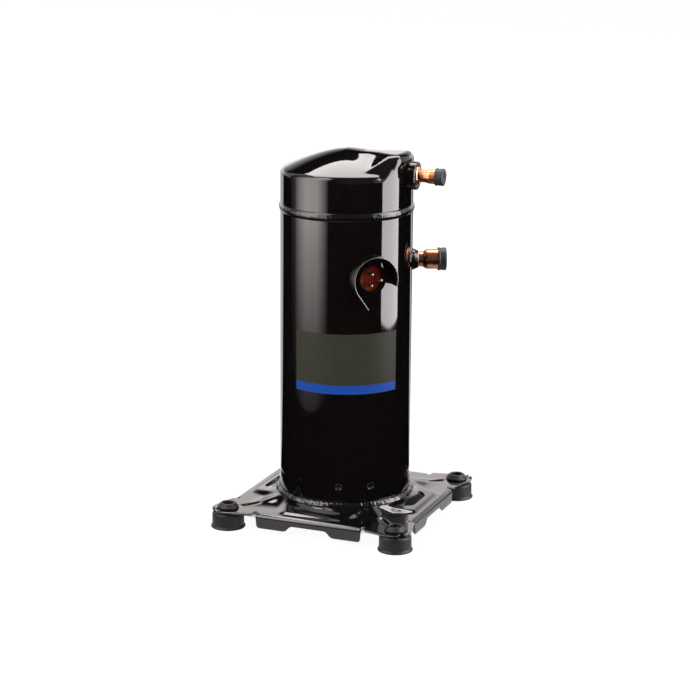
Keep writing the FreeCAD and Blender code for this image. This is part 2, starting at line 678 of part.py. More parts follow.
def build_base():
    """The stamped base plate and its four rubber feet."""
    low = S.plate_under
    high = low + S.plate_gauge
    body = new_body("base_plate")
    lean = S.ear_radius * sine(S.ear_flank)
    reach = S.foot_half + S.ear_radius * cosine(S.ear_flank)
    near = S.foot_half - lean
    eighth = [(S.rim_run, S.rim_half), (near, reach), (reach, near), (S.rim_half, S.rim_run)]
    outline = list(eighth)
    outline += [(x, -y) for x, y in reversed(eighth)]
    outline += [(-x, -y) for x, y in eighth]
    outline += [(-x, y) for x, y in reversed(eighth)]
    pad(body, low, high, lambda sketch: draw_polygon(sketch, outline))
    revolve(body, [
        (S.shell_radius, low),
        (S.collar_foot, low),
        (S.collar_foot, high),
        (S.collar_land, S.collar_top),
        (S.shell_radius, S.collar_top),
    ])
    foot = S.foot_half
    ear = pad(body, low, high, lambda sketch: draw_circle(sketch, S.ear_radius, foot, -foot))
    panel = pad(body, low, high + S.panel_rise, lambda sketch: draw_polygon(sketch, [
        (-S.panel_inner_half, -S.collar_land),
        (-S.panel_outer_half, -S.panel_edge),
        (S.panel_outer_half, -S.panel_edge),
        (S.panel_inner_half, -S.collar_land),
    ]))
    flange = pad(body, S.rim_half - S.plate_gauge, S.rim_half, lambda sketch: draw_polygon(sketch, [
        (-S.rim_run, high),
        (-S.tab_outer, S.tab_low),
        (-S.tab_inner, S.tab_low),
        (-S.arch_half, S.tab_arch),
        (S.arch_half, S.tab_arch),
        (S.tab_inner, S.tab_low),
        (S.tab_outer, S.tab_low),
        (S.rim_run, high),
    ]), plane="XZ_Plane")
    repeat(body, [ear, panel, flange], 4)
    side = S.slot_half - S.slot_lean
    slot = pocket(body, low - OVER, S.collar_top + OVER, lambda sketch: draw_polygon(sketch, [
        (-S.slot_half, -S.slot_inner),
        (-side, -S.slot_inner - S.slot_side),
        (-S.slot_half_outer, -S.slot_outer),
        (S.slot_half_outer, -S.slot_outer),
        (side, -S.slot_inner - S.slot_side),
        (S.slot_half, -S.slot_inner),
    ]))
    bore = pocket(body, low - OVER, high + OVER, lambda sketch: draw_circle(sketch, S.ear_bore, foot, -foot))
    half = S.ear_slit / 2
    corner = foot * math.sqrt(2)
    slit = pocket(body, low - OVER, high + OVER, lambda sketch: draw_polygon(
        sketch, rectangle(corner, corner + S.ear_radius + OVER, -half, half)), turn=-45)
    groove = pocket(body, high - S.groove_depth, high + OVER, lambda sketch: draw_polygon(
        sketch, rectangle(S.groove_start, S.groove_end, -S.groove_half, S.groove_half)), turn=-45)
    repeat(body, [slot, bore, slit, groove], 4)
    pocket(body, low - OVER, S.collar_top + OVER, lambda sketch: draw_circle(
        sketch, S.shell_radius + S.fit_gap))
    piece(place(body), "base_plate")

    neck = S.ear_bore - S.free_gap
    for name, (side_x, side_y) in FEET.items():
        piece(turned(name, [
            (S.grommet_bore, 0),
            (S.grommet_lip, 0),
            (S.grommet_lip, S.grommet_lip_rise),
            (S.grommet_radius, S.grommet_side_low),
            (S.grommet_radius, low - S.grommet_bevel),
            (S.grommet_radius - S.grommet_bevel, low),
            (neck, low),
            (neck, high),
            (S.grommet_neck, high + S.grommet_neck_rise),
            (S.grommet_flange, high + S.grommet_flange_low),
            (S.grommet_flange, high + S.grommet_flange_high),
            (S.grommet_top_radius, S.grommet_top),
            (S.grommet_bore, S.grommet_top),
        ], x=side_x * foot, y=side_y * foot), name)


def copper_stub(name, neck, socket, swage, height, azimuth):
    """A copper tube with a swaged socket, pointing out of the shell."""
    bore = neck - S.stub_wall
    outer = socket + S.stub_wall
    widened = swage + S.swage_length
    return piece(turned(name, [
        (bore, S.stub_start),
        (neck, S.stub_start),
        (neck, swage),
        (outer, widened),
        (outer, S.stub_end),
        (socket, S.stub_end),
        (socket, widened),
        (bore, swage),
    ], z=height, azimuth=azimuth, pitch=90), name)


def stub_cap(name, socket, height, azimuth):
    """A rubber cap pushed over a stub's open end."""
    inner = socket + S.stub_wall + S.cap_gap
    outer = inner + S.cap_skin
    mouth = S.stub_end - S.cap_grip
    face = S.stub_end + S.cap_gap
    return piece(turned(name, [
        (inner, mouth),
        (outer, mouth),
        (outer, face + S.cap_skin - S.cap_edge),
        (outer - S.cap_edge, face + S.cap_skin),
        (0, face + S.cap_skin),
        (0, face),
        (inner, face),
    ], z=height, azimuth=azimuth, pitch=90), name)


def build_ports():
    """Suction and discharge fittings, copper stubs and rubber caps."""
    saddle = cylinder("saddle_tool", S.shell_radius, S.cap_top)
    bore = S.suction_neck + S.fit_gap
    root_face = shell_inner() - S.shell_wall
    cone = turned("suction_fitting_blank", [
        (bore, root_face),
        (S.cone_radius, root_face),
        (S.cone_radius, S.shell_radius + S.cone_step),
        (bore + S.cone_nose, S.cone_out),
        (bore, S.cone_out),
    ], z=S.suction_height, azimuth=S.suction_azimuth, pitch=90)
    piece(cut("suction_fitting", cone, saddle), "suction_fitting")
    copper_stub(
        "suction_stub", S.suction_neck, S.suction_socket, S.suction_swage,
        S.suction_height, S.suction_azimuth)
    stub_cap("suction_cap", S.suction_socket, S.suction_height, S.suction_azimuth)

    bore = S.discharge_neck + S.fit_gap
    collar = turned("discharge_collar_blank", [
        (bore, root_face),
        (S.collar_radius, root_face),
        (S.collar_radius, S.collar_out - S.collar_edge),
        (S.collar_radius - S.collar_edge, S.collar_out),
        (bore, S.collar_out),
    ], z=S.discharge_height, azimuth=S.discharge_azimuth, pitch=90)
    piece(cut("discharge_collar", collar, saddle), "discharge_collar")
    piece(ring(
        "discharge_braze_ring", bore, bore + S.braze_width, S.collar_out, S.collar_out + S.braze_out,
        z=S.discharge_height, azimuth=S.discharge_azimuth, pitch=90,
    ), "discharge_braze_ring")
    copper_stub(
        "discharge_stub", S.discharge_neck, S.discharge_socket, S.discharge_swage,
        S.discharge_height, S.discharge_azimuth)
    stub_cap("discharge_cap", S.discharge_socket, S.discharge_height, S.discharge_azimuth)


def pin_spots():
    """Where the three pins stand across the terminal's axis: upwards, then sideways."""
    spots = []
    for turn in (0, 120, 240):
        angle = S.pin_turn + turn
        spots.append((S.pin_circle * sine(angle), S.pin_circle * cosine(angle)))
    return spots


def pin_row(name, radius, start, end):
    """Three cylinders along the terminal's axis, one at each pin."""
    angle = S.terminal_azimuth
    solids = []
    for index, (up, side) in enumerate(pin_spots()):
        solids.append(cylinder(
            f"{name}_{index}", radius, sized(end) - start,
            x=start * cosine(angle) - side * sine(angle),
            y=start * sine(angle) + side * cosine(angle),
            z=S.terminal_height + up, azimuth=angle, pitch=90,
        ))
    return solids


def build_terminal():
    """The sealed electrical terminal, its fence, the lead block and the motor leads."""
    face = S.terminal_face
    back = face - S.cap_wall
    cup = turned("terminal_cup_blank", [
        (0, back),
        (S.terminal_cup, back),
        (S.terminal_cup, S.shell_radius - S.cup_sink),
        (S.terminal_disc, S.shell_radius - S.cup_sink),
        (S.terminal_disc, face),
        (0, face),
    ], z=S.terminal_height, azimuth=S.terminal_azimuth, pitch=90)
    holes = pin_row("glass_hole", S.glass_radius, back - OVER, face + OVER)
    piece(cut("terminal_cup", cup, *holes), "terminal_cup")
    disc = turned("insulator_disc", rectangle(
        0, S.terminal_disc - S.fit_gap, face, face + S.sealant_gauge,
    ), z=S.terminal_height, azimuth=S.terminal_azimuth, pitch=90)
    glass_end = face + S.glass_out
    beads = pin_row("glass", S.glass_radius - S.fit_gap, back, glass_end)
    bore = S.stem_radius + S.fit_gap
    tools = pin_row("glass_bore", bore, back - OVER, glass_end + OVER)
    piece(cut("terminal_insulator", fuse("insulator_blank", disc, *beads), *tools), "terminal_insulator")
    stems = pin_row("pin_stem", S.stem_radius, S.pin_root, glass_end)
    studs = pin_row("pin_stud", S.pin_radius, glass_end, S.pin_tip)
    group("terminal_pins", [fuse(f"pin_{index}", *halves) for index, halves in enumerate(zip(stems, studs))])

    build_fence()
    block = turned("lead_block_blank", rectangle(
        0, S.block_radius, S.block_start, back,
    ), z=S.terminal_height, azimuth=S.terminal_azimuth, pitch=90)
    tools = pin_row("block_bore", bore, S.pin_root, face)
    piece(cut("lead_block", block, *tools), "lead_block")
    angle = S.terminal_azimuth
    middle = (S.block_start + back) / 2
    leads = []
    for index, step in enumerate((-1, 0, 1)):
        side = step * S.lead_spacing
        edge = abs(step) * (S.lead_spacing - S.lead_radius)
        drop = S.terminal_height - root(S.block_radius * S.block_radius - edge * edge) - S.fit_gap
        leads.append(cylinder(
            f"lead_{index}", S.lead_radius, drop - S.stack_high - S.turn_rise,
            x=middle * cosine(angle) - side * sine(angle),
            y=middle * sine(angle) + side * cosine(angle),
            z=S.stack_high + S.turn_rise,
        ))
    group("motor_leads", leads)


def build_fence():
    """The bent strip round the terminal: most of a circle, then a straight leg."""
    half = S.fence_gauge / 2
    depth = S.fence_out - S.terminal_face
    quarter = 90
    outer = cylinder(
        "fence_outside", S.fence_radius + half, depth, z=S.terminal_face, azimuth=S.fence_start + quarter)
    bind(outer, Angle=S.fence_end - S.fence_start)
    inner = cylinder("fence_inside", S.fence_radius - half, depth, z=S.terminal_face)
    leg = DOCUMENT.addObject("Part::Box", "fence_leg")
    bind(leg, Length=S.fence_leg, Width=S.fence_gauge, Height=depth)
    turn = S.fence_end + quarter
    place(
        leg, x=(S.fence_radius + half) * cosine(turn), y=(S.fence_radius + half) * sine(turn),
        z=S.terminal_face, azimuth=turn + quarter,
    )
    strip = fuse("fence_strip", cut("fence_arc", outer, inner), leg)
    place(strip, z=S.terminal_height, azimuth=S.terminal_azimuth, pitch=90)
    saddle = cylinder("fence_saddle", S.shell_radius, S.cap_top)
    piece(cut("terminal_fence", strip, saddle), "terminal_fence")


def involute(base, angle, shift):
    """A point of an involute, moved along its normal by a shift in radians."""
    run = angle - shift
    along, across = math.cos(angle), math.sin(angle)
    return base * (along + run * across), base * (across - run * along)


def scroll_wrap(name, low, high, turn, shift_y):
    """A spiral wall of even thickness between two heights, turned about Z and moved along Y."""
    pitch_half = S.orbit.value + S.wrap_wall.value + S.flank_gap.value
    base = pitch_half / math.pi
    half = S.wrap_wall.value / (2 * base)
    start, end = S.wrap_start.value, S.wrap_end.value
    steps = 40
    angles = [start + (end - start) * index / steps for index in range(steps + 1)]
    flanks = []
    for shift in (half, -half):
        points = [VECTOR(*involute(base, angle, shift), low.value) for angle in angles]
        curve = Part.BSplineCurve()
        curve.interpolate(points)
        flanks.append(curve.toShape())
    ends = []
    for where in (0, -1):
        first = flanks[0].Vertexes[where].Point
        second = flanks[1].Vertexes[where].Point
        ends.append(Part.LineSegment(first, second).toShape())
    wire = Part.Wire(Part.__sortEdges__([flanks[0], ends[1], flanks[1], ends[0]]))
    wall = Part.Face(wire).extrude(VECTOR(0, 0, (high - low).value))
    feature = DOCUMENT.addObject("Part::Feature", name)
    feature.Shape = wall
    feature.Placement = FreeCAD.Placement(
        VECTOR(0, shift_y, 0), FreeCAD.Rotation(VECTOR(0, 0, 1), turn))
    return feature


def build_scrolls():
    """Orbiting scroll, fixed scroll, Oldham ring and floating seal."""
    base_low = S.thrust_height + S.free_gap
    base_high = base_low + S.orbit_base_gauge
    wrap_high = base_high + S.wrap_height
    bush_outer = S.bushing_radius + S.run_gap + S.hub_bush_wall

    body = new_body("orbiting_base")
    revolve(body, [
        (0, base_high),
        (S.orbit_base_radius, base_high),
        (S.orbit_base_radius, base_low),
        (S.hub_radius, base_low),
        (S.hub_radius, base_low - S.hub_length),
        (bush_outer + S.fit_gap, base_low - S.hub_length),
        (bush_outer + S.fit_gap, base_low),
        (0, base_low),
    ])
    half = S.key_width / 2 + S.orbit + S.free_gap
    inner = S.key_circle - S.key_length / 2 - S.orbit - S.free_gap
    keyway = pocket(body, base_low - OVER, base_low + S.key_rise, lambda sketch: draw_polygon(
        sketch, rectangle(-half, half, inner, S.orbit_base_radius + OVER)))
    repeat(body, [keyway], 2)
    place(body, y=S.orbit)
    wall = scroll_wrap("orbiting_wall", base_high, wrap_high, 0, S.orbit.value)
    piece(fuse("orbiting_scroll", body, wall), "orbiting_scroll")
    piece(ring(
        "hub_bush", S.bushing_radius + S.run_gap, bush_outer,
        base_low - S.hub_length + S.bush_inset, base_low - S.bush_inset, y=S.orbit,
    ), "hub_bush")

    floor_low = wrap_high + S.free_gap
    floor_high = floor_low + S.fixed_floor
    rim_high = floor_high + S.recess_depth
    skirt_outer = S.post_circle - S.post_radius - S.free_gap
    body = new_body("fixed_base")
    revolve(body, [
        (S.port_radius, floor_low),
        (S.fixed_skirt_inner, floor_low),
        (S.fixed_skirt_inner, floor_low - S.fixed_skirt_drop),
        (skirt_outer, floor_low - S.fixed_skirt_drop),
        (skirt_outer, floor_low),
        (S.fixed_radius, floor_low),
        (S.fixed_radius, rim_high),
        (S.recess_outer, rim_high),
        (S.recess_outer, floor_high),
        (S.recess_inner, floor_high),
        (S.recess_inner, rim_high),
        (S.port_radius, rim_high),
    ])
    lug = pad(body, floor_low, floor_high, lambda sketch: draw_circle(
        sketch, S.post_radius, S.post_circle))
    repeat(body, [lug], 4)
    bolt_bore = pocket(body, floor_low - OVER, rim_high + OVER, lambda sketch: draw_circle(
        sketch, S.sleeve_radius + S.run_gap, S.post_circle))
    head_room = pocket(body, floor_high, rim_high + OVER, lambda sketch: draw_circle(
        sketch, S.bolt_head + S.free_gap, S.post_circle))
    repeat(body, [bolt_bore, head_room], 4)
    far = S.fixed_radius + OVER
    inlet = pocket(body, floor_low - S.fixed_skirt_drop - OVER, floor_low, lambda sketch: draw_polygon(
        sketch, rectangle(S.port_radius, far, -S.inlet_half, S.inlet_half)), turn=S.suction_azimuth)
    repeat(body, [inlet], 2)
    place(body)
    wall = scroll_wrap("fixed_wall", base_high + S.free_gap, floor_low, 180, 0)
    piece(fuse("fixed_scroll", body, wall), "fixed_scroll")

    ring_high = S.ring_under + S.ring_gauge
    body = new_body("oldham_ring")
    revolve(body, rectangle(S.ring_inner, S.ring_outer, S.ring_under, ring_high))
    key_near = S.key_circle - S.key_length / 2
    key_far = S.key_circle + S.key_length / 2
    key_half = S.key_width / 2
    lower = pad(body, S.ring_under - S.key_drop, ring_high, lambda sketch: draw_polygon(
        sketch, rectangle(key_near, key_far, -key_half, key_half)))
    upper = pad(body, S.ring_under, ring_high + S.key_rise, lambda sketch: draw_polygon(
        sketch, rectangle(-key_half, key_half, key_near, key_far)))
    repeat(body, [lower, upper], 2)
    piece(place(body), "oldham_ring")

    seal_low = floor_high + S.free_gap
    inner = S.recess_inner + S.free_gap
    outer = S.recess_outer - S.free_gap
    land_low = seal_low + S.recess_depth - S.seal_land
    land_high = land_low + S.seal_land
    near = inner + S.lip_width
    far = outer - S.lip_width
    lip = sealed_height() - S.scroll_lift - S.seal_lift - S.free_gap
    piece(turned("floating_seal", [
        (near, seal_low),
        (far, seal_low),
        (far, land_low),
        (outer, land_low),
        (outer, land_high),
        (near + S.seal_collar, land_high),
        (near + S.seal_collar, lip),
        (near, lip),
        (near, land_high),
        (inner, land_high),
        (inner, land_low),
        (near, land_low),
    ]), "floating_seal")
    group("floating_seal_rings", [
        ring("inner_lip_ring", inner, near - S.fit_gap, seal_low, land_low - S.fit_gap),
        ring("outer_lip_ring", far + S.fit_gap, outer, seal_low, land_low - S.fit_gap),
    ])


def sealed_height():
    """Underside of the partition, where the floating seal presses."""
    return S.tube_top + S.partition_rim - S.partition_gauge


def build_housing():
    """Main bearing housing with its bush, guide sleeves and scroll bolts."""
    web_high = S.web_low + S.web_gauge
    track = S.ring_under - S.free_gap
    bush_outer = S.main_journal + S.run_gap + S.bush_wall
    bore = bush_outer + S.fit_gap
    body = new_body("main_housing")
    revolve(body, [
        (bore, S.housing_low),
        (S.housing_hub, S.housing_low),
        (S.housing_hub, S.web_low),
        (shell_inner() - S.fit_gap, S.web_low),
        (shell_inner() - S.fit_gap, web_high),
        (S.neck_radius, web_high),
        (S.neck_radius, track - S.track_gauge - S.neck_flare),
        (S.track_outer, track - S.track_gauge),
        (S.track_outer, track),
        (S.thrust_outer, track),
        (S.thrust_outer, S.thrust_height),
        (S.well_radius, S.thrust_height),
        (S.well_radius, S.main_journal_top),
        (bore, S.main_journal_top),
    ])
    post = pad(body, S.web_low, S.post_top, lambda sketch: draw_circle(sketch, S.post_radius, S.post_circle))
    repeat(body, [post], 4)
    window = pocket(body, S.web_low - OVER, web_high + OVER, lambda sketch: draw_polygon(
        sketch, rectangle(S.window_inner, S.window_outer, -S.window_half, S.window_half)), turn=45)
    thread = pocket(body, S.post_top - S.thread_depth, S.post_top + OVER, lambda sketch: draw_circle(
        sketch, S.bolt_radius + S.fit_gap, S.post_circle))
    repeat(body, [window, thread], 4)
    key_half = S.key_width / 2 + S.key_gap
    near = S.key_circle - S.key_length / 2 - S.orbit - S.free_gap
    keyway = pocket(body, S.ring_under - S.key_drop - S.free_gap, track + OVER, lambda sketch: draw_polygon(
        sketch, rectangle(near, S.track_outer + OVER, -key_half, key_half)))
    repeat(body, [keyway], 2)
    piece(place(body), "main_housing")
    piece(ring(
        "main_bearing_bush", S.main_journal + S.run_gap, bush_outer,
        S.housing_low + S.bush_inset, S.main_journal_top,
    ), "main_bearing_bush")

    base_high = S.thrust_height + S.free_gap + S.orbit_base_gauge
    lug_top = base_high + S.wrap_height + S.free_gap + S.fixed_floor
    head_low = lug_top + S.scroll_lift + S.free_gap
    sleeves = []
    bolts = []
    for quarter in QUARTERS:
        x = S.post_circle * round(math.cos(math.radians(quarter)))
        y = S.post_circle * round(math.sin(math.radians(quarter)))
        sleeves.append(ring(
            f"sleeve_{quarter}", S.bolt_radius + S.fit_gap, S.sleeve_radius, S.post_top, head_low, x=x, y=y))
        bolts.append(turned(f"bolt_{quarter}", [
            (0, S.post_top - S.bolt_reach),
            (S.bolt_radius, S.post_top - S.bolt_reach),
            (S.bolt_radius, head_low),
            (S.bolt_head, head_low),
            (S.bolt_head, head_low + S.bolt_head_rise),
            (0, head_low + S.bolt_head_rise),
        ], x=x, y=y))
    group("guide_sleeves", sleeves)
    group("scroll_bolts", bolts)


def build_drive():
    """Crankshaft, drive bushing, rotor, counterweights, oil pickup and lower bearing."""
    pin_top = S.thrust_height - S.pin_short
    shaft = new_body("crankshaft")
    revolve(shaft, [
        (0, S.shaft_foot),
        (S.lower_journal, S.shaft_foot),
        (S.lower_journal, S.shaft_shoulder),
        (S.shaft_radius, S.shaft_shoulder),
        (S.shaft_radius, S.main_journal_low),
        (S.main_journal, S.main_journal_low),
        (S.main_journal, S.main_journal_top),
        (0, S.main_journal_top),
    ])
    pad(shaft, S.main_journal_top - OVER, pin_top, lambda sketch: draw_circle(
        sketch, S.eccentric_radius, 0, S.orbit))
    pocket(shaft, S.shaft_foot - OVER, pin_top + OVER, lambda sketch: draw_circle(sketch, S.oil_bore))
    piece(place(shaft), "crankshaft")
    hub_low = S.thrust_height + S.free_gap - S.hub_length
    piece(ring(
        "drive_bushing", S.eccentric_radius + S.run_gap, S.bushing_radius,
        hub_low + S.bushing_rise, pin_top, y=S.orbit,
    ), "drive_bushing")
    bore = S.shaft_radius + S.fit_gap
    low = S.stack_low - S.rotor_over
    high = S.stack_high + S.rotor_over
    piece(ring("rotor_core", bore, S.rotor_radius, low, high), "rotor_core")
    ring_outer = S.rotor_radius - S.end_ring_step
    group("rotor_end_rings", [
        ring("lower_end_ring", S.end_ring_inner, ring_outer, low - S.end_ring, low),
        ring("upper_end_ring", S.end_ring_inner, ring_outer, high, high + S.end_ring),
    ])
    piece(ring(
        "upper_counterweight", bore, S.weight_radius,
        high + S.end_ring, high + S.end_ring + S.upper_weight, sweep=S.upper_weight_sweep, azimuth=-90,
    ), "upper_counterweight")
    piece(ring(
        "lower_counterweight", bore, S.weight_radius,
        low - S.end_ring - S.lower_weight, low - S.end_ring, sweep=S.lower_weight_sweep, azimuth=90,
    ), "lower_counterweight")
    piece(turned("oil_pickup", [
        (S.oil_bore, S.pickup_tip),
        (S.oil_bore + S.pickup_wall, S.pickup_tip),
        (S.pickup_radius, S.pickup_tip + S.pickup_cone),
        (S.pickup_radius, S.shaft_foot),
        (S.pickup_radius - S.pickup_wall, S.shaft_foot),
        (S.pickup_radius - S.pickup_wall, S.pickup_tip + S.pickup_cone),
    ]), "oil_pickup")

    bush_inner = S.lower_journal + S.run_gap
    bush_outer = bush_inner + S.bush_wall
    piece(ring(
        "lower_bearing_bush", bush_inner, bush_outer, S.bracket_low, S.bracket_top,
    ), "lower_bearing_bush")
    piece(ring(
        "thrust_washer", S.lower_journal + S.free_gap, S.washer_radius,
        S.bracket_top, S.shaft_shoulder - S.free_gap,
    ), "thrust_washer")
    bracket = new_body("lower_bearing_bracket")
    revolve(bracket, rectangle(bush_outer + S.fit_gap, S.bracket_hub, S.bracket_low, S.bracket_top))
    face = shell_inner() - S.fit_gap
    arm_low = S.tube_bottom + S.skirt_lap + S.arm_clear
    arm_end = root(face * face - S.arm_half * S.arm_half) - S.free_gap
    arm = pad(bracket, arm_low, arm_low + S.arm_gauge, lambda sketch: draw_polygon(
        sketch, rectangle(S.bracket_hub - OVER, arm_end, -S.arm_half, S.arm_half)))
    sketch = new_sketch(bracket, "XZ_Plane")
    draw_polygon(sketch, rectangle(face - S.leg_wall, face, arm_low, S.plug_height + S.leg_half_rise))
    leg = bracket.newObject("PartDesign::Revolution", "bracket_leg")
    leg.Profile = sketch
    leg.ReferenceAxis = (sketch, ["V_Axis"])
    leg.Midplane = True
    bind(leg, Angle=S.leg_sweep)
    repeat(bracket, [arm, leg], 3)
    piece(place(bracket, azimuth=S.leg_azimuth), "lower_bearing_bracket")


def build_stator():
    """Stator core and winding, motor protector and sump magnet."""
    bore = S.rotor_radius + S.air_gap
    face = shell_inner() - S.fit_gap
    core = new_body("stator_core")
    revolve(core, rectangle(bore, face, S.stack_low, S.stack_high))
    half = S.slot_width / 2
    slot = pocket(core, S.stack_low - OVER, S.stack_high + OVER, lambda sketch: draw_polygon(
        sketch, rectangle(S.slot_start, S.slot_end, -half, half)))
    repeat(core, [slot], S.slot_count)
    notch = pocket(core, S.stack_low - OVER, S.stack_high + OVER, lambda sketch: draw_polygon(
        sketch, rectangle(face - S.notch_depth, face + OVER, -S.notch_half, S.notch_half)), turn=45)
    repeat(core, [notch], 4)
    piece(place(core), "stator_core")

    coil = new_body("stator_winding")
    start, end, bevel = S.slot_start + S.fit_gap, S.turn_outer, S.turn_bevel
    for low, high, tip in (
        (S.stack_high + S.fit_gap, S.stack_high + S.turn_rise, 1),
        (S.stack_low - S.fit_gap, S.stack_low - S.turn_rise, -1),
    ):
        revolve(coil, [
            (start, low),
            (end, low),
            (end, high - tip * bevel),
            (end - bevel, high),
            (start + bevel, high),
            (start, high - tip * bevel),
        ])
        if tip == 1:
            across = half - S.coil_gap
            bar = pad(coil, S.stack_low - OVER, S.stack_high + OVER, lambda sketch: draw_polygon(
                sketch, rectangle(start + OVER, S.slot_end - S.coil_gap, -across, across)))
            repeat(coil, [bar], S.slot_count)
    piece(place(coil), "stator_winding")

    top = S.stack_high + S.turn_rise
    piece(cylinder(
        "motor_protector", S.protector_radius, S.protector_length,
        x=-S.protector_length / 2, y=S.protector_place, z=top + S.protector_radius, pitch=90,
    ), "motor_protector")
    piece(cylinder(
        "sump_magnet", S.magnet_radius, S.magnet_gauge, x=S.magnet_place, z=S.dish_floor + S.cap_wall,
    ), "sump_magnet")


def build_partition():
    """Partition plate with the check valve and the pressure relief valve."""
    rim_low = S.tube_top
    high = rim_low + S.partition_rim
    low = high - S.partition_gauge
    plate = turned("partition_blank", [
        (S.valve_neck + S.fit_gap, low),
        (shell_inner(), low),
        (shell_inner(), rim_low),
        (S.shell_radius, rim_low),
        (S.shell_radius, high),
        (S.valve_neck + S.fit_gap, high),
    ])
    hole = cylinder(
        "relief_hole", S.relief_radius + S.fit_gap, S.partition_gauge + 2 * OVER,
        x=-S.relief_place, z=low - OVER,
    )
    piece(cut("partition_plate", plate, hole), "partition_plate")

    seat = S.valve_seat
    roof = seat + S.free_gap + S.valve_disc_gauge + S.valve_lift + S.free_gap
    body = new_body("check_valve_body")
    revolve(body, [
        (S.port_radius, low - S.neck_drop),
        (S.valve_neck, low - S.neck_drop),
        (S.valve_neck, high),
        (S.valve_radius, high),
        (S.valve_radius, roof + S.valve_roof),
        (S.valve_vent, roof + S.valve_roof),
        (S.valve_vent, roof),
        (S.valve_bore, roof),
        (S.valve_bore, seat),
        (S.port_radius, seat),
    ])
    half = S.valve_window / 2
    window = pocket(body, seat + S.valve_land, roof - S.valve_land, lambda sketch: draw_polygon(
        sketch, rectangle(S.valve_bore - OVER, S.valve_radius + OVER, -half, half)))
    repeat(body, [window], 4)
    piece(place(body), "check_valve_body")
    disc_low = seat + S.free_gap
    piece(cylinder(
        "check_valve_disc", S.valve_disc, S.valve_disc_gauge, z=disc_low), "check_valve_disc")

    head_high = high + S.relief_head_rise
    plunger_low = head_high + S.relief_gap
    plunger_high = plunger_low + S.relief_plunger_gauge
    chamber = plunger_high + S.relief_lift + S.relief_packed
    roof = chamber + S.relief_roof
    x = -S.relief_place
    piece(turned("relief_valve_body", [
        (S.relief_port, low - S.neck_drop),
        (S.relief_radius, low - S.neck_drop),
        (S.relief_radius, high),
        (S.relief_head, high),
        (S.relief_head, head_high),
        (S.relief_radius, head_high),
        (S.relief_radius, roof),
        (S.relief_vent, roof),
        (S.relief_vent, chamber),
        (S.relief_bore, chamber),
        (S.relief_bore, head_high),
        (S.relief_port, head_high),
    ], x=x), "relief_valve_body")
    piece(cylinder(
        "relief_plunger", S.relief_bore - 2 * S.relief_gap, S.relief_plunger_gauge, x=x, z=plunger_low,
    ), "relief_plunger")
    wire = S.relief_wire
    length = chamber - plunger_high - 2 * (wire + S.relief_gap)
    helix = DOCUMENT.addObject("Part::Helix", "relief_coil_line")
    bind(helix, Pitch=length / S.relief_turns, Height=length, Radius=S.relief_coil)
    section = DOCUMENT.addObject("Part::Circle", "relief_coil_section")
    bind(section, Radius=wire)
    section.Placement = FreeCAD.Placement(
        VECTOR(S.relief_coil.value, 0, 0), FreeCAD.Rotation(VECTOR(1, 0, 0), 90))
    coil = DOCUMENT.addObject("Part::Sweep", "relief_spring")
    coil.Sections = [section]
    coil.Spine = (helix, ["Edge1"])
    coil.Solid = True
    coil.Frenet = True
    piece(place(coil, x=x, z=plunger_high + wire + S.relief_gap), "relief_spring")


def check_and_write():
    """Check every object, then write each sub-part to its own file."""
    DOCUMENT.recompute()
    for thing in DOCUMENT.Objects:
        if "Invalid" in thing.State or "Error" in thing.State:
            raise RuntimeError(f"{thing.Name} failed: {thing.State}")
    names = [part.Label for part in PIECES]
    if len(set(names)) != len(names):
        raise RuntimeError("two sub-parts share a name")
    os.makedirs("parts", exist_ok=True)
    for part in PIECES:
        if part.Shape.isNull() or not part.Shape.isValid() or not part.Shape.Solids:
            raise RuntimeError(f"{part.Label} has no valid solid")
    for part in PIECES:
        part.Shape.exportStep(f"parts/{part.Label}.step")
        print(f"{part.Label}: {len(part.Shape.Solids)} solid(s), {part.Shape.Volume / 1000:.1f} cm3")
    print(f"{len(PIECES)} sub-parts written")


build_shell()
build_top_cap()
build_base()
build_ports()
build_terminal()
build_scrolls()
build_housing()
build_drive()
build_stator()
build_partition()
check_and_write()
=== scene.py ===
"""Looks of an upright hermetic scroll compressor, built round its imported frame.

Lengths in the classes are millimetres in the frame's own axes: Z runs up along the shell, the ports point
towards +X, and the label and the terminal face -Y. Angles are degrees.
"""
import json
import logging
import math
from dataclasses import dataclass
from enum import Enum
from typing import Callable, Optional, Sequence, Union

import bmesh
import bpy
from mathutils import Matrix, Vector, geometry, noise


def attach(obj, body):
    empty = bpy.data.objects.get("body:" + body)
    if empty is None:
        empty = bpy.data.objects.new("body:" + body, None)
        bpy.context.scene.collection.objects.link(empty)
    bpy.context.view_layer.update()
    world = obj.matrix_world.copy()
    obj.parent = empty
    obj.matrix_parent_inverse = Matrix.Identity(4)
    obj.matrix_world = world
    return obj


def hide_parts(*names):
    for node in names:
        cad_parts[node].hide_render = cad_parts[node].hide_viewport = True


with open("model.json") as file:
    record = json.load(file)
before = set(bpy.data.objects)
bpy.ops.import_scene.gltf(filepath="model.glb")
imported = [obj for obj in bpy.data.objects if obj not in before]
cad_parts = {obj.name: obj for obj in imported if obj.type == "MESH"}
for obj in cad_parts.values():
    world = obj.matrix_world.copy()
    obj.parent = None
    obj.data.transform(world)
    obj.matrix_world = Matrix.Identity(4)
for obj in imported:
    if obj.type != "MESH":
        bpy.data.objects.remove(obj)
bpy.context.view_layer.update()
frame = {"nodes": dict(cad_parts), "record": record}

MM = 0.001
LEAST_RADIUS = 0.001
MERGE = 0.003
SOFT_ANGLE = 38.0
LOG = logging.getLogger("compressor")

SHELL_RADIUS = 69.85
FOOT_HALF = 95.25
SUCTION_AZIMUTH = 25.0
SUCTION_HEIGHT = 280.5
DISCHARGE_AZIMUTH = 4.0
DISCHARGE_HEIGHT = 375.0
TERMINAL_AZIMUTH = -45.0

Span = tuple[float, float]
Path = Sequence[Span]
Colour = tuple[float, float, float, float]


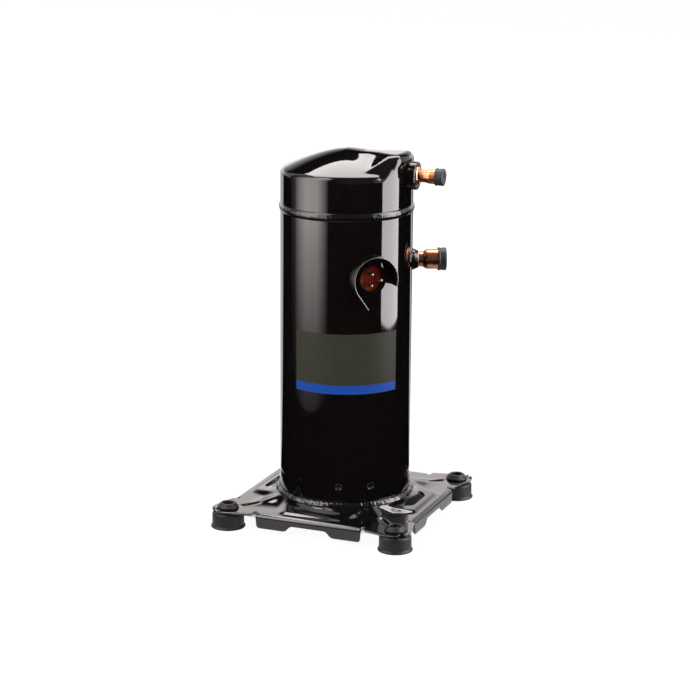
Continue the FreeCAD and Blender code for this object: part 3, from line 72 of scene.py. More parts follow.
class Slot(str, Enum):
    """The record's material slots."""

    SHELL = "shell_paint"
    WELD = "weld_paint"
    BASE = "base_paint"
    FOOT = "foot_rubber"
    CAP = "cap_rubber"
    LABEL = "label_film"
    COPPER = "copper"
    BRAZE = "braze"
    CUP = "terminal_steel"
    RED = "terminal_red"
    PIN = "pin_metal"
    PLASTIC = "block_plastic"
    SLEEVE = "lead_sleeve"
    IRON = "iron"
    BEARING = "bearing"
    STEEL = "steel"
    STACK = "lamination"
    END = "end_metal"
    WEIGHT = "weight_metal"
    WINDING = "winding"
    SEAL = "seal_iron"
    SEAL_RING = "seal_ring"
    MAGNET = "magnet"


def grey(value: float) -> Colour:
    """A neutral colour of that brightness."""
    return value, value, value, 1.0


def smooth_step(low: float, high: float, value: float) -> float:
    """0 below low, 1 above high, and an even S between."""
    share = min(1.0, max(0.0, (value - low) / (high - low)))
    return share * share * (3 - 2 * share)


def soft_max(first: float, second: float, blend: float) -> float:
    """The larger of two heights, with the corner where they cross rounded off."""
    share = max(blend - abs(first - second), 0.0) / blend
    return max(first, second) + share * share * blend / 4


def around(reach: float, degrees: float) -> Span:
    """The point at that distance from the middle and that angle from +X."""
    turn = math.radians(degrees)
    return reach * math.cos(turn), reach * math.sin(turn)


def axis_of(azimuth: float) -> tuple[float, float, float]:
    """The outward direction at that azimuth."""
    return (*around(1.0, azimuth), 0.0)


# Materials


class Term:
    """A number that runs through a material, written with the usual signs of arithmetic."""

    def __init__(self, graph: "Graph", socket: bpy.types.NodeSocket) -> None:
        """Wraps an output socket of one of the graph's nodes."""
        self.graph = graph
        self.socket = socket

    def maths(self, operation: str, *values: Union["Term", float]) -> "Term":
        """Adds one Math node.

        Args:
            operation: the node's operation.
            values: its inputs, in order.

        Returns:
            The node's result.
        """
        made = self.graph.node("ShaderNodeMath", {"operation": operation}, dict(enumerate(values)))
        return Term(self.graph, made.outputs[0])

    def __add__(self, other: Union["Term", float]) -> "Term":
        """Sum."""
        return self.maths("ADD", self, other)

    __radd__ = __add__

    def __sub__(self, other: Union["Term", float]) -> "Term":
        """Difference."""
        return self.maths("SUBTRACT", self, other)

    def __rsub__(self, other: float) -> "Term":
        """Difference from a number on the left."""
        return self.maths("SUBTRACT", other, self)

    def __mul__(self, other: Union["Term", float]) -> "Term":
        """Product."""
        return self.maths("MULTIPLY", self, other)

    __rmul__ = __mul__

    def __truediv__(self, other: Union["Term", float]) -> "Term":
        """Quotient."""
        return self.maths("DIVIDE", self, other)

    def held(self) -> "Term":
        """The number kept between 0 and 1."""
        return self.maths("MAXIMUM", self.maths("MINIMUM", self, 1.0), 0.0)

    def ramp(self, low: float, high: float) -> "Term":
        """0 at low and 1 at high, straight between."""
        return ((self - low) / (high - low)).held()


class Graph:
    """The nodes of one material or world."""

    def __init__(self, tree: bpy.types.NodeTree) -> None:
        """Starts from an empty tree."""
        self.tree = tree
        tree.nodes.clear()

    def node(self, kind: str, settings: Optional[dict] = None,
             values: Optional[dict] = None) -> bpy.types.Node:
        """Adds a node.

        Args:
            kind: the node's type.
            settings: its properties, set first.
            values: numbers, colours, sockets or terms by the input's name or place.

        Returns:
            The new node.
        """
        made = self.tree.nodes.new(kind)
        for key, value in (settings or {}).items():
            setattr(made, key, value)
        for key, value in (values or {}).items():
            if isinstance(value, Term):
                value = value.socket
            if isinstance(value, bpy.types.NodeSocket):
                self.tree.links.new(value, made.inputs[key])
            else:
                made.inputs[key].default_value = value
        return made

    def spot(self) -> bpy.types.NodeSocket:
        """The surface point in the object's own coordinates."""
        return self.node("ShaderNodeTexCoord").outputs["Object"]

    def along(self, direction: Sequence[float]) -> Term:
        """How far the surface point lies along a direction, in metres."""
        made = self.node("ShaderNodeVectorMath", {"operation": "DOT_PRODUCT"},
                         {0: self.spot(), 1: tuple(direction)})
        return Term(self, made.outputs["Value"])

    def speckle(self, size: float, detail: float) -> Term:
        """Cloudy noise.

        Args:
            size: the clouds' size in millimetres.
            detail: how many finer layers are added.

        Returns:
            A number round one half.
        """
        made = self.node("ShaderNodeTexNoise", None, {
            "Vector": self.spot(), "Scale": 1 / (size * MM), "Detail": detail})
        return Term(self, made.outputs[0])

    def blend(self, share: Term, first: Union[Colour, bpy.types.NodeSocket],
              second: Union[Colour, bpy.types.NodeSocket]) -> bpy.types.NodeSocket:
        """One colour where share is 0 and another where it is 1."""
        made = self.node("ShaderNodeMix", {"data_type": "RGBA"}, {0: share, 6: first, 7: second})
        return made.outputs[2]

    def bump(self, height: Term, depth: float) -> bpy.types.NodeSocket:
        """Fine relief of that many millimetres."""
        made = self.node("ShaderNodeBump", None, {"Strength": 1.0, "Distance": depth * MM, "Height": height})
        return made.outputs[0]

    def surface(self, values: dict) -> None:
        """Ends a material in a Principled shader with these inputs."""
        made = self.node("ShaderNodeBsdfPrincipled", None, values)
        self.node("ShaderNodeOutputMaterial", None, {"Surface": made.outputs[0]})


def new_material(name: str) -> tuple[bpy.types.Material, Graph]:
    """A material and the graph of its nodes."""
    made = bpy.data.materials.new(name)
    made.use_nodes = True
    return made, Graph(made.node_tree)


@dataclass(frozen=True)
class Finish:
    """A surface whose colour and gloss vary softly, with fine relief."""

    name: str
    colour: Colour
    second: Colour
    roughness: float
    metallic: float = 0.0
    specular: float = 0.5
    cloud: float = 9.0
    uneven: float = 0.12
    grain: float = 0.8
    relief: float = 0.01

    def shade(self, graph: Graph) -> dict:
        """The Principled inputs of this finish."""
        cloud = graph.speckle(self.cloud, 3.0)
        grain = graph.speckle(self.grain, 2.0)
        return {
            "Base Color": graph.blend(cloud.ramp(0.3, 0.7), self.colour, self.second),
            "Roughness": self.roughness + self.uneven * (cloud - 0.5) + 0.3 * self.uneven * (grain - 0.5),
            "Metallic": self.metallic,
            "Specular IOR Level": self.specular,
            "Normal": graph.bump(grain, self.relief),
        }

    def make(self) -> bpy.types.Material:
        """The material."""
        made, graph = new_material(self.name)
        graph.surface(self.shade(graph))
        return made


@dataclass(frozen=True)
class Enamel(Finish):
    """Stoved black paint that flowed before it set, so that it has a slight peel."""

    peel: float = 5.0
    peel_relief: float = 0.012

    def shade(self, graph: Graph) -> dict:
        """The Principled inputs, with the peel added to the relief."""
        made = super().shade(graph)
        wave = graph.speckle(self.peel, 1.0) + 0.08 * graph.speckle(self.grain, 1.0)
        made["Normal"] = graph.bump(wave, self.peel_relief)
        return made


@dataclass(frozen=True)
class Film(Finish):
    """The bare label: an olive grey film with a blue band along its lower edge."""

    band: Colour = (0.012, 0.075, 0.40, 1.0)
    band_top: float = 160.6

    def shade(self, graph: Graph) -> dict:
        """The Principled inputs, with the band."""
        made = super().shade(graph)
        edge = self.band_top * MM
        share = graph.along((0, 0, 1)).ramp(edge + 0.05 * MM, edge - 0.05 * MM)
        made["Base Color"] = graph.blend(share, made["Base Color"], self.band)
        return made


@dataclass(frozen=True)
class Copper(Finish):
    """Drawn copper tube: fine lines round it, and a heat tint towards the shell."""

    tint: Colour = (0.42, 0.13, 0.07, 1.0)
    axis: tuple[float, float, float] = (1.0, 0.0, 0.0)
    tint_start: float = 84.0
    tint_end: float = 77.0
    line_scale: float = 1900.0

    def shade(self, graph: Graph) -> dict:
        """The Principled inputs, with the tint and the lines."""
        made = super().shade(graph)
        reach = graph.along(self.axis)
        cloud = graph.speckle(3.5, 3.0)
        share = reach.ramp(self.tint_start * MM, self.tint_end * MM) * (0.4 + 0.9 * cloud).held()
        made["Base Color"] = graph.blend(share, made["Base Color"], self.tint)
        lines = graph.node("ShaderNodeTexNoise", {"noise_dimensions": "1D"},
                           {"W": reach, "Scale": self.line_scale, "Detail": 2.0})
        made["Normal"] = graph.bump(Term(graph, lines.outputs[0]), self.relief)
        return made


@dataclass(frozen=True)
class Ribbed(Finish):
    """A surface with fine even lines across one axis, such as stacked sheets or laid wire."""

    across: tuple[float, float, float] = (0.0, 0.0, 1.0)
    pitch: float = 1.0
    depth: float = 0.08

    def shade(self, graph: Graph) -> dict:
        """The Principled inputs, with the lines."""
        made = super().shade(graph)
        turn = graph.along(self.across) * (2 * math.pi / (self.pitch * MM))
        wave = turn.maths("SINE", turn) * 0.5 + 0.5
        made["Base Color"] = graph.blend(wave.ramp(0.0, 0.25), self.second, made["Base Color"])
        made["Normal"] = graph.bump(wave, self.depth)
        return made


@dataclass(frozen=True)
class Sealant(Finish):
    """The terminal's red resin: glossy and deep red, with painted light: one side is painted orange as if
    lit, and the other stays deep red as painted shade.
    """

    # painted light: the orange of the resin's lit side
    painted_light_orange: Colour = (0.36, 0.075, 0.022, 1.0)
    # the direction in which the resin is left dark red, as painted shade
    side: tuple[float, float, float] = (0.62, 0.62, 0.47)
    middle: float = 127.0
    fade: float = 20.0

    def shade(self, graph: Graph) -> dict:
        """The Principled inputs, with the painted light and shade across the resin."""
        made = super().shade(graph)
        # painted light and shade: away from the side direction the resin turns orange as if lit, and towards
        # it, it stays dark red
        away = (self.middle * MM - graph.along(self.side)) * (1 / (self.fade * MM))
        share = (away + 0.9 * (graph.speckle(5.0, 2.0) - 0.5) + 0.1).held()
        made["Base Color"] = graph.blend(share, made["Base Color"], self.painted_light_orange)
        return made


@dataclass(frozen=True)
class EdgedPaint(Finish):
    """Black paint worn through to bright steel along an outer edge."""

    bare: Colour = (0.15, 0.145, 0.145, 1.0)
    axis: tuple[float, float, float] = (1.0, 0.0, 0.0)
    edge: float = 79.0
    edge_soft: float = 0.08
    edge_ragged: float = 0.25
    bare_rough: float = 0.18

    def shade(self, graph: Graph) -> dict:
        """The Principled inputs, with the worn edge."""
        made = super().shade(graph)
        ragged = graph.along(self.axis) + self.edge_ragged * MM * (graph.speckle(1.2, 2.0) - 0.5)
        worn = ragged.ramp((self.edge - self.edge_soft) * MM, (self.edge + self.edge_soft) * MM)
        made["Base Color"] = graph.blend(worn, made["Base Color"], self.bare)
        made["Metallic"] = worn
        made["Roughness"] = made["Roughness"] + self.bare_rough * worn
        return made


BLACK = (0.0045, 0.0036, 0.0034, 1.0)
BLACK_SECOND = (0.0062, 0.0050, 0.0046, 1.0)


def finishes() -> dict[Slot, Finish]:
    """The finish of every material slot."""
    metal = {"metallic": 1.0}
    return {
        Slot.SHELL: Enamel("shell_enamel", BLACK, BLACK_SECOND, 0.045,
                           specular=0.45, uneven=0.03, peel=7.0, peel_relief=0.006),
        Slot.WELD: Enamel("weld_enamel", BLACK, BLACK_SECOND, 0.15, peel=1.1, peel_relief=0.10),
        Slot.BASE: Enamel("base_enamel", (0.005, 0.0042, 0.004, 1), (0.008, 0.0068, 0.0064, 1), 0.065,
                          specular=0.62, uneven=0.03, peel=6.0, peel_relief=0.008),
        Slot.FOOT: Finish("foot_rubber", (0.0085, 0.0075, 0.007, 1), (0.0150, 0.0130, 0.0120, 1), 0.5,
                          specular=0.3, grain=0.6, relief=0.05),
        Slot.CAP: Finish("cap_rubber", (0.016, 0.015, 0.017, 1), (0.024, 0.022, 0.025, 1), 0.5,
                         specular=0.4, grain=0.7, relief=0.006),
        Slot.LABEL: Film("label_film", (0.041, 0.041, 0.030, 1), (0.045, 0.045, 0.034, 1), 0.42,
                         specular=0.08, relief=0.002),
        Slot.COPPER: Copper("discharge_copper", (0.56, 0.24, 0.12, 1), (0.46, 0.18, 0.09, 1), 0.34,
                            axis=axis_of(DISCHARGE_AZIMUTH), relief=0.004, cloud=4.0, **metal),
        Slot.BRAZE: Finish("braze_alloy", (0.80, 0.46, 0.30, 1), (0.62, 0.32, 0.22, 1), 0.20,
                           cloud=2.0, relief=0.02, **metal),
        Slot.CUP: Enamel("cup_enamel", BLACK, BLACK_SECOND, 0.14, specular=0.3),
        Slot.RED: Sealant("terminal_resin", (0.115, 0.008, 0.005, 1), (0.18, 0.016, 0.008, 1), 0.13,
                          cloud=4.0),
        Slot.PIN: Finish("pin_plating", (0.50, 0.42, 0.37, 1), (0.36, 0.29, 0.25, 1), 0.30,
                         relief=0.004, **metal),
        Slot.PLASTIC: Finish("block_plastic", grey(0.03), grey(0.045), 0.45),
        Slot.SLEEVE: Finish("lead_sleeve", (0.55, 0.52, 0.44, 1), (0.42, 0.39, 0.32, 1), 0.7, relief=0.03),
        Slot.IRON: Finish("cast_iron", (0.17, 0.165, 0.16, 1), (0.12, 0.115, 0.11, 1), 0.48,
                          grain=1.2, relief=0.06, **metal),
        Slot.BEARING: Finish("bearing_bronze", (0.55, 0.42, 0.26, 1), (0.46, 0.34, 0.2, 1), 0.3, **metal),
        Slot.STEEL: Finish("ground_steel", (0.52, 0.51, 0.50, 1), (0.44, 0.43, 0.42, 1), 0.26, **metal),
        Slot.STACK: Ribbed("core_sheets", (0.34, 0.35, 0.37, 1), (0.17, 0.18, 0.20, 1), 0.42, **metal),
        Slot.END: Finish("cast_aluminium", (0.72, 0.72, 0.73, 1), (0.6, 0.6, 0.61, 1), 0.38,
                         relief=0.03, **metal),
        Slot.WEIGHT: Finish("weight_brass", (0.64, 0.47, 0.22, 1), (0.55, 0.39, 0.18, 1), 0.3, **metal),
        Slot.WINDING: Ribbed("enamelled_wire", (0.50, 0.19, 0.07, 1), (0.16, 0.05, 0.02, 1), 0.28,
                             across=(0.35, 0.35, 0.87), pitch=1.3, depth=0.3, metallic=0.6),
        Slot.SEAL: Finish("seal_iron", (0.2, 0.2, 0.2, 1), (0.15, 0.15, 0.15, 1), 0.4, **metal),
        Slot.SEAL_RING: Finish("seal_ring", grey(0.02), grey(0.03), 0.5),
        Slot.MAGNET: Finish("ferrite", grey(0.04), grey(0.055), 0.6, relief=0.04),
    }


# Modelling


def begin() -> None:
    """Leaves edit mode and deselects everything, so that the next operator acts on new geometry alone."""
    if bpy.context.mode != "OBJECT":
        bpy.ops.object.mode_set(mode="OBJECT")
    bpy.ops.object.select_all(action="DESELECT")


def choose(made: bpy.types.Object) -> None:
    """Makes one object the selected and active one."""
    begin()
    made.select_set(True)
    bpy.context.view_layer.objects.active = made


def open_all() -> None:
    """Enters edit mode and selects the whole mesh."""
    bpy.ops.object.mode_set(mode="EDIT")
    bpy.ops.mesh.select_all(action="SELECT")


def settle(made: bpy.types.Object, name: str, spot: Optional[Matrix] = None, angle: float = SOFT_ANGLE,
           sealed: bool = True) -> bpy.types.Object:
    """Merges doubles, turns faces out, puts the piece in place and shades it.

    Args:
        made: the piece, in object mode or edit mode.
        name: its name.
        spot: where its own axes go in the frame.
        angle: faces that meet at less are shaded as one surface.
        sealed: whether the faces' directions are worked out anew.

    Returns:
        The piece, with its place in its mesh.
    """
    choose(made)
    open_all()
    bpy.ops.mesh.remove_doubles(threshold=MERGE * MM)
    if sealed:
        bpy.ops.mesh.normals_make_consistent(inside=False)
    bpy.ops.object.mode_set(mode="OBJECT")
    if spot is not None:
        made.matrix_world = spot @ made.matrix_world
    bpy.ops.object.transform_apply(location=True, rotation=True, scale=True)
    bpy.ops.object.shade_smooth_by_angle(angle=math.radians(angle))
    made.name = made.data.name = name
    return made


def turned(name: str, path: Path, sides: int, spot: Optional[Matrix] = None,
           angle: float = SOFT_ANGLE) -> bpy.types.Object:
    """Draws a ring out along a path of radii and heights, as on a lathe.

    Args:
        name: the piece's name.
        path: radius and height of each ring, in millimetres.
        sides: points on each ring.
        spot: where the lathe's axis goes in the frame.
        angle: faces that meet at less are shaded as one surface.

    Returns:
        The piece.
    """
    begin()
    radius, height = max(path[0][0], LEAST_RADIUS), path[0][1]
    bpy.ops.mesh.primitive_circle_add(
        vertices=sides, radius=radius * MM, fill_type="NOTHING", location=(0, 0, height * MM))
    made = bpy.context.active_object
    open_all()
    for next_radius, next_height in path[1:]:
        next_radius = max(next_radius, LEAST_RADIUS)
        step = (0, 0, (next_height - height) * MM)
        bpy.ops.mesh.extrude_region_move(TRANSFORM_OT_translate={"value": step})
        scale = next_radius / radius
        bpy.ops.transform.resize(value=(scale, scale, 1), center_override=(0, 0, next_height * MM))
        radius, height = next_radius, next_height
    return settle(made, name, spot, angle)


def rounded(corners: Sequence[tuple], steps: int = 5) -> list[Span]:
    """A path with its corners rounded.

    Args:
        corners: radius, height and, where the corner is rounded, how far from it the rounding starts.
        steps: points on each rounding, less one.

    Returns:
        The path's points.
    """
    path = []
    for index, corner in enumerate(corners):
        reach = corner[2] if len(corner) > 2 else 0
        here = Vector(corner[:2])
        if not reach or index in (0, len(corners) - 1):
            path.append(tuple(here))
            continue
        back = here + (Vector(corners[index - 1][:2]) - here).normalized() * reach
        ahead = here + (Vector(corners[index + 1][:2]) - here).normalized() * reach
        for step in range(steps + 1):
            share = step / steps
            point = back * (1 - share) ** 2 + here * 2 * share * (1 - share) + ahead * share ** 2
            path.append(tuple(point))
    return path


def port_spot(azimuth: float, height: float) -> Matrix:
    """Axes whose Z points straight out of the shell at that azimuth and height, with Y up."""
    out = Vector(axis_of(azimuth))
    across = Vector((-out.y, out.x, 0))
    spot = Matrix((across, Vector((0, 0, 1)), out)).transposed().to_4x4()
    spot.translation = Vector((0, 0, height * MM))
    return spot


def modify(made: bpy.types.Object, kind: str, **settings: object) -> None:
    """Adds a modifier with those settings and applies it."""
    choose(made)
    modifier = made.modifiers.new(kind.lower(), kind)
    for key, value in settings.items():
        setattr(modifier, key, value)
    bpy.ops.object.modifier_apply(modifier=modifier.name)


def carve(made: bpy.types.Object, tool: bpy.types.Object) -> None:
    """Cuts the tool out of a piece and removes the tool."""
    modify(made, "BOOLEAN", object=tool, operation="DIFFERENCE", solver="EXACT")
    bpy.data.objects.remove(tool)


def joined(name: str, pieces: Sequence[bpy.types.Object]) -> bpy.types.Object:
    """Several meshes as one piece."""
    begin()
    for one in pieces:
        one.select_set(True)
    bpy.context.view_layer.objects.active = pieces[0]
    bpy.ops.object.join()
    pieces[0].name = pieces[0].data.name = name
    return pieces[0]


def copied(made: bpy.types.Object, name: str, spot: Matrix) -> bpy.types.Object:
    """A copy with its own mesh, moved by that matrix."""
    mesh = made.data.copy()
    mesh.transform(spot)
    mesh.name = name
    other = bpy.data.objects.new(name, mesh)
    bpy.context.scene.collection.objects.link(other)
    return other


def push(made: bpy.types.Object, move: Callable[[Vector], Vector]) -> None:
    """Moves every vertex to where the rule says."""
    for vertex in made.data.vertices:
        vertex.co = move(vertex.co)
    made.data.update()


class Workshop:
    """Holds the materials, gives each finished piece its material and body, and hides the frame's nodes that
    it replaces.
    """

    def __init__(self) -> None:
        """Makes every slot's material."""
        self.materials = {slot: finish.make() for slot, finish in finishes().items()}

    def hand_over(self, made: bpy.types.Object, slot: Slot, nodes: Sequence[str], body: str = "shell",
                  finish: Optional[Finish] = None) -> None:
        """Dresses a piece, sets what it rides on and hides the frame's nodes that it stands for.

        Args:
            made: the piece.
            slot: its material slot.
            nodes: the frame's nodes that it replaces.
            body: the body it moves with.
            finish: a finish of its own, where the slot's doesn't serve.
        """
        made.data.materials.clear()
        made.data.materials.append(finish.make() if finish else self.materials[slot])
        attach(made, body)
        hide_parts(*nodes)
        LOG.info("%s: %d faces, rides on %s", made.name, len(made.data.polygons), body)

    def dress_frame(self) -> None:
        """Gives every node of the frame that still shows its slot's material."""
        slots = {part["node"]: part["material_slot"] for part in frame["record"]["subparts"]}
        for name, node in frame["nodes"].items():
            if node.hide_render:
                continue
            for place in node.material_slots:
                place.material = self.materials[Slot(slots[name])]
            LOG.info("%s: frame node in %s", name, slots[name])


@dataclass
class TopCap:
    """The pressed top cap: a low dome that runs out into the raised outlet housing over +X."""

    radius: float = SHELL_RADIUS
    low: float = 340.5
    top: float = 400.5
    shoulder: float = 379.0
    dome_power: float = 1.62
    crest_half: float = 10.0
    crest_spread: float = 10.0
    spread_from: float = 30.0
    spread_short: float = 4.0
    flank_fall: float = 0.45
    flank_blend: float = 5.0
    flank_steep: float = 0.4
    steep_at: float = 12.0
    steep_by: float = 4.0
    steep_out: Span = (30.0, 50.0)
    rear_fall: float = 0.4
    corner: float = 4.6
    hump_top: float = 399.5
    hump_corner: float = 8.0
    hump_blend: float = 3.0
    hump_sink: float = 0.15
    hump_raised: float = 12.0
    crest_sink: float = 0.6
    gauge: float = 3.0
    sides: int = 360
    rings: int = 38
    corner_rings: int = 8
    wall_rings: int = 6
    wall_power: float = 2.5
    port_radius: float = 6.45
    port_reach: Span = (55.0, 80.0)

    def height(self, reach: float, turn: float) -> float:
        """Height of the cap before its rim is rounded: the dome, or the housing where that is higher."""
        dome = self.top - (self.top - self.shoulder) * (reach / self.radius) ** self.dome_power
        out, across = reach * math.cos(turn), abs(reach * math.sin(turn))
        spread = smooth_step(self.spread_from, self.radius - self.spread_short, out)
        half = self.crest_half + self.crest_spread * spread
        steep = smooth_step(self.steep_at, self.steep_by, self.radius - reach)
        steep *= smooth_step(*self.steep_out, out)
        fall = self.flank_fall + self.flank_steep * steep
        beside = soft_max(across - half, 0.0, self.flank_blend)
        housing = self.hump_top - beside * fall - self.rear_fall * max(0.0, -out)
        return soft_max(dome, housing, self.hump_blend) - self.hump_blend * self.hump_sink

    def rim(self, turn: float) -> float:
        """How far from the wall the rounding starts at that angle."""
        raised = smooth_step(0, self.hump_raised, self.height(self.radius, turn) - self.shoulder)
        return self.corner + (self.hump_corner - self.corner) * raised

    def place(self, ring: int, turn: float) -> Vector:
        """The point of one ring at that angle."""
        rim = self.rim(turn)
        flat = self.radius - rim
        if ring <= self.rings:
            reach = flat * ring / self.rings
            height = self.height(reach, turn)
        elif ring <= self.rings + self.corner_rings:
            share = (ring - self.rings) / self.corner_rings
            start = self.height(flat, turn)
            crest = start + (start - self.height(flat - 1, turn)) * rim
            crest = max(crest, start - rim * self.crest_sink)
            reach = flat * (1 - share) ** 2 + self.radius * (1 - (1 - share) ** 2)
            height = start * (1 - share) ** 2 + crest * 2 * share * (1 - share) + (crest - rim) * share ** 2
        else:
            share = ((ring - self.rings - self.corner_rings) / self.wall_rings) ** self.wall_power
            start = self.place(self.rings + self.corner_rings, turn).z
            reach, height = self.radius, start + (self.low - start) * share
        return Vector((reach * math.cos(turn), reach * math.sin(turn), height))

    def build(self, shop: Workshop) -> None:
        """Draws the rings, shapes them, gives the cap its wall and cuts the outlet."""
        last = self.rings + self.corner_rings + self.wall_rings
        path = [(self.radius * ring / last, 0) for ring in range(last + 1)]
        made = turned("top_cap_shape", path, self.sides)
        span = self.radius / last

        def shape(spot: Vector) -> Vector:
            """Moves a point of the flat disc to its place on the cap."""
            reach = math.hypot(spot.x, spot.y) / MM
            ring = round(reach / span)
            return self.place(ring, math.atan2(spot.y, spot.x)) * MM

        push(made, shape)
        settle(made, "top_cap_shape")
        modify(made, "SOLIDIFY", thickness=self.gauge * MM, offset=-1.0, use_even_offset=True)
        near, far = self.port_reach
        path = [(0, near), (self.port_radius, near), (self.port_radius, far), (0, far)]
        bore = turned("outlet_tool", path, 64, port_spot(DISCHARGE_AZIMUTH, DISCHARGE_HEIGHT))
        carve(made, bore)
        shop.hand_over(settle(made, "cap_shell"), Slot.SHELL, ["top_cap"])


@dataclass
class Welds:
    """The seam weld's bead, the fillet on the base plate and the plug welds low on the shell."""

    shell_radius: float = SHELL_RADIUS
    seam_height: float = 338.5
    bead_half: float = 4.4
    bead_out: float = 1.6
    bead_in: float = 0.6
    crown_steps: int = 8
    sides: int = 720
    ripples: int = 190
    ripple_depth: float = 0.10
    ripple_drift: float = 0.17
    ridges: int = 120
    fillet_low: float = 28.4
    fillet_high: float = 33.0
    fillet_foot: float = 73.9
    fillet_top: float = 70.6
    plug_height: float = 49.4
    plug_radius: float = 4.15
    plug_azimuths: tuple[float, ...] = (-73.3, -44.9, 46.7, 75.1, 166.7, 195.1)

    def bead(self, shop: Workshop) -> None:
        """The seam weld: a low crown whose ripples lie across it."""
        half, steps, inner = self.bead_half, self.crown_steps, self.shell_radius - self.bead_in
        low, high = self.seam_height - half, self.seam_height + half
        crown = [(self.shell_radius + self.bead_out * math.sin(math.pi * step / steps) ** 0.8,
                  low + 2 * half * step / steps) for step in range(steps + 1)]
        path = [(inner, low)] + crown + [(inner, high), (inner, low)]
        made = turned("seam_bead", path, self.sides, angle=60)

        def ripple(spot: Vector) -> Vector:
            """Lays the ripples and a slight unevenness on the crown."""
            reach = math.hypot(spot.x, spot.y)
            proud = max(0.0, reach / MM - self.shell_radius - 0.05)
            turn = math.atan2(spot.y, spot.x)
            height = spot.z / MM - self.seam_height
            phase = self.ripples * turn + 0.22 * height * height + 2.5 * noise.noise(spot * 60)
            wave = 0.5 + 0.5 * math.sin(phase)
            drift = noise.noise(spot * 220) + 0.6 * noise.noise(spot * 560)
            push_out = proud * (self.ripple_depth * wave - self.ripple_depth + self.ripple_drift * drift)
            scale = 1 + push_out * MM / reach
            wander = 0.25 * MM * noise.noise(spot * 90) * proud
            return Vector((spot.x * scale, spot.y * scale, spot.z + wander))

        push(made, ripple)
        shop.hand_over(made, Slot.WELD, ["seam_weld"])

    def fillet(self, shop: Workshop) -> None:
        """The weld that joins the shell to the base plate."""
        inner = self.shell_radius + 0.02
        path = [(inner, self.fillet_low)] + rounded([
            (self.fillet_foot + 0.6, self.fillet_low),
            (self.fillet_foot - 0.1, self.fillet_low + 2.2, 1.3),
            (self.fillet_top + 1.9, self.fillet_high - 0.6, 1.3),
            (self.fillet_top, self.fillet_high),
        ], 4) + [(inner, self.fillet_high), (inner, self.fillet_low)]
        made = turned("base_fillet", path, self.sides, angle=60)

        def lump(spot: Vector) -> Vector:
            """Roughens the weld's free face."""
            reach = math.hypot(spot.x, spot.y)
            free = smooth_step(self.shell_radius + 0.4, self.shell_radius + 1.6, reach / MM)
            turn = math.atan2(spot.y, spot.x)
            phase = self.ridges * turn + 9 * noise.noise(spot * 40)
            ridge = math.sin(phase) * (0.5 + noise.noise(spot * 25))
            rough = (0.10 * ridge + 0.8 * noise.noise(spot * 150) + 0.5 * noise.noise(spot * 380)) * free
            scale = 1 + 0.55 * rough * MM / reach
            off_plate = spot.z > self.fillet_low * MM + MM
            return Vector((spot.x * scale, spot.y * scale, spot.z + 0.4 * rough * MM * off_plate))

        push(made, lump)
        shop.hand_over(made, Slot.WELD, ["base_weld"])

    def plugs(self, shop: Workshop) -> None:
        """Six round plug welds, each a shallow crater with a raised middle."""
        face = self.shell_radius
        path = rounded([
            (0, face - 0.75), (1.5, face - 0.85, 0.6), (2.7, face - 1.0, 0.6), (3.5, face - 0.7, 0.4),
            (3.85, face - 0.02, 0.25), (self.plug_radius, face - 0.3), (self.plug_radius, face - 2.9),
            (0, face - 2.9),
        ], 3)
        made = []
        for index, azimuth in enumerate(self.plug_azimuths):
            made.append(turned(f"plug_{index}", path, 40, port_spot(azimuth, self.plug_height)))
        shop.hand_over(joined("plug_craters", made), Slot.SHELL, ["bracket_plug_welds"])

    def build(self, shop: Workshop) -> None:
        """Builds the three kinds of weld."""
        self.bead(shop)
        self.fillet(shop)
        self.plugs(shop)


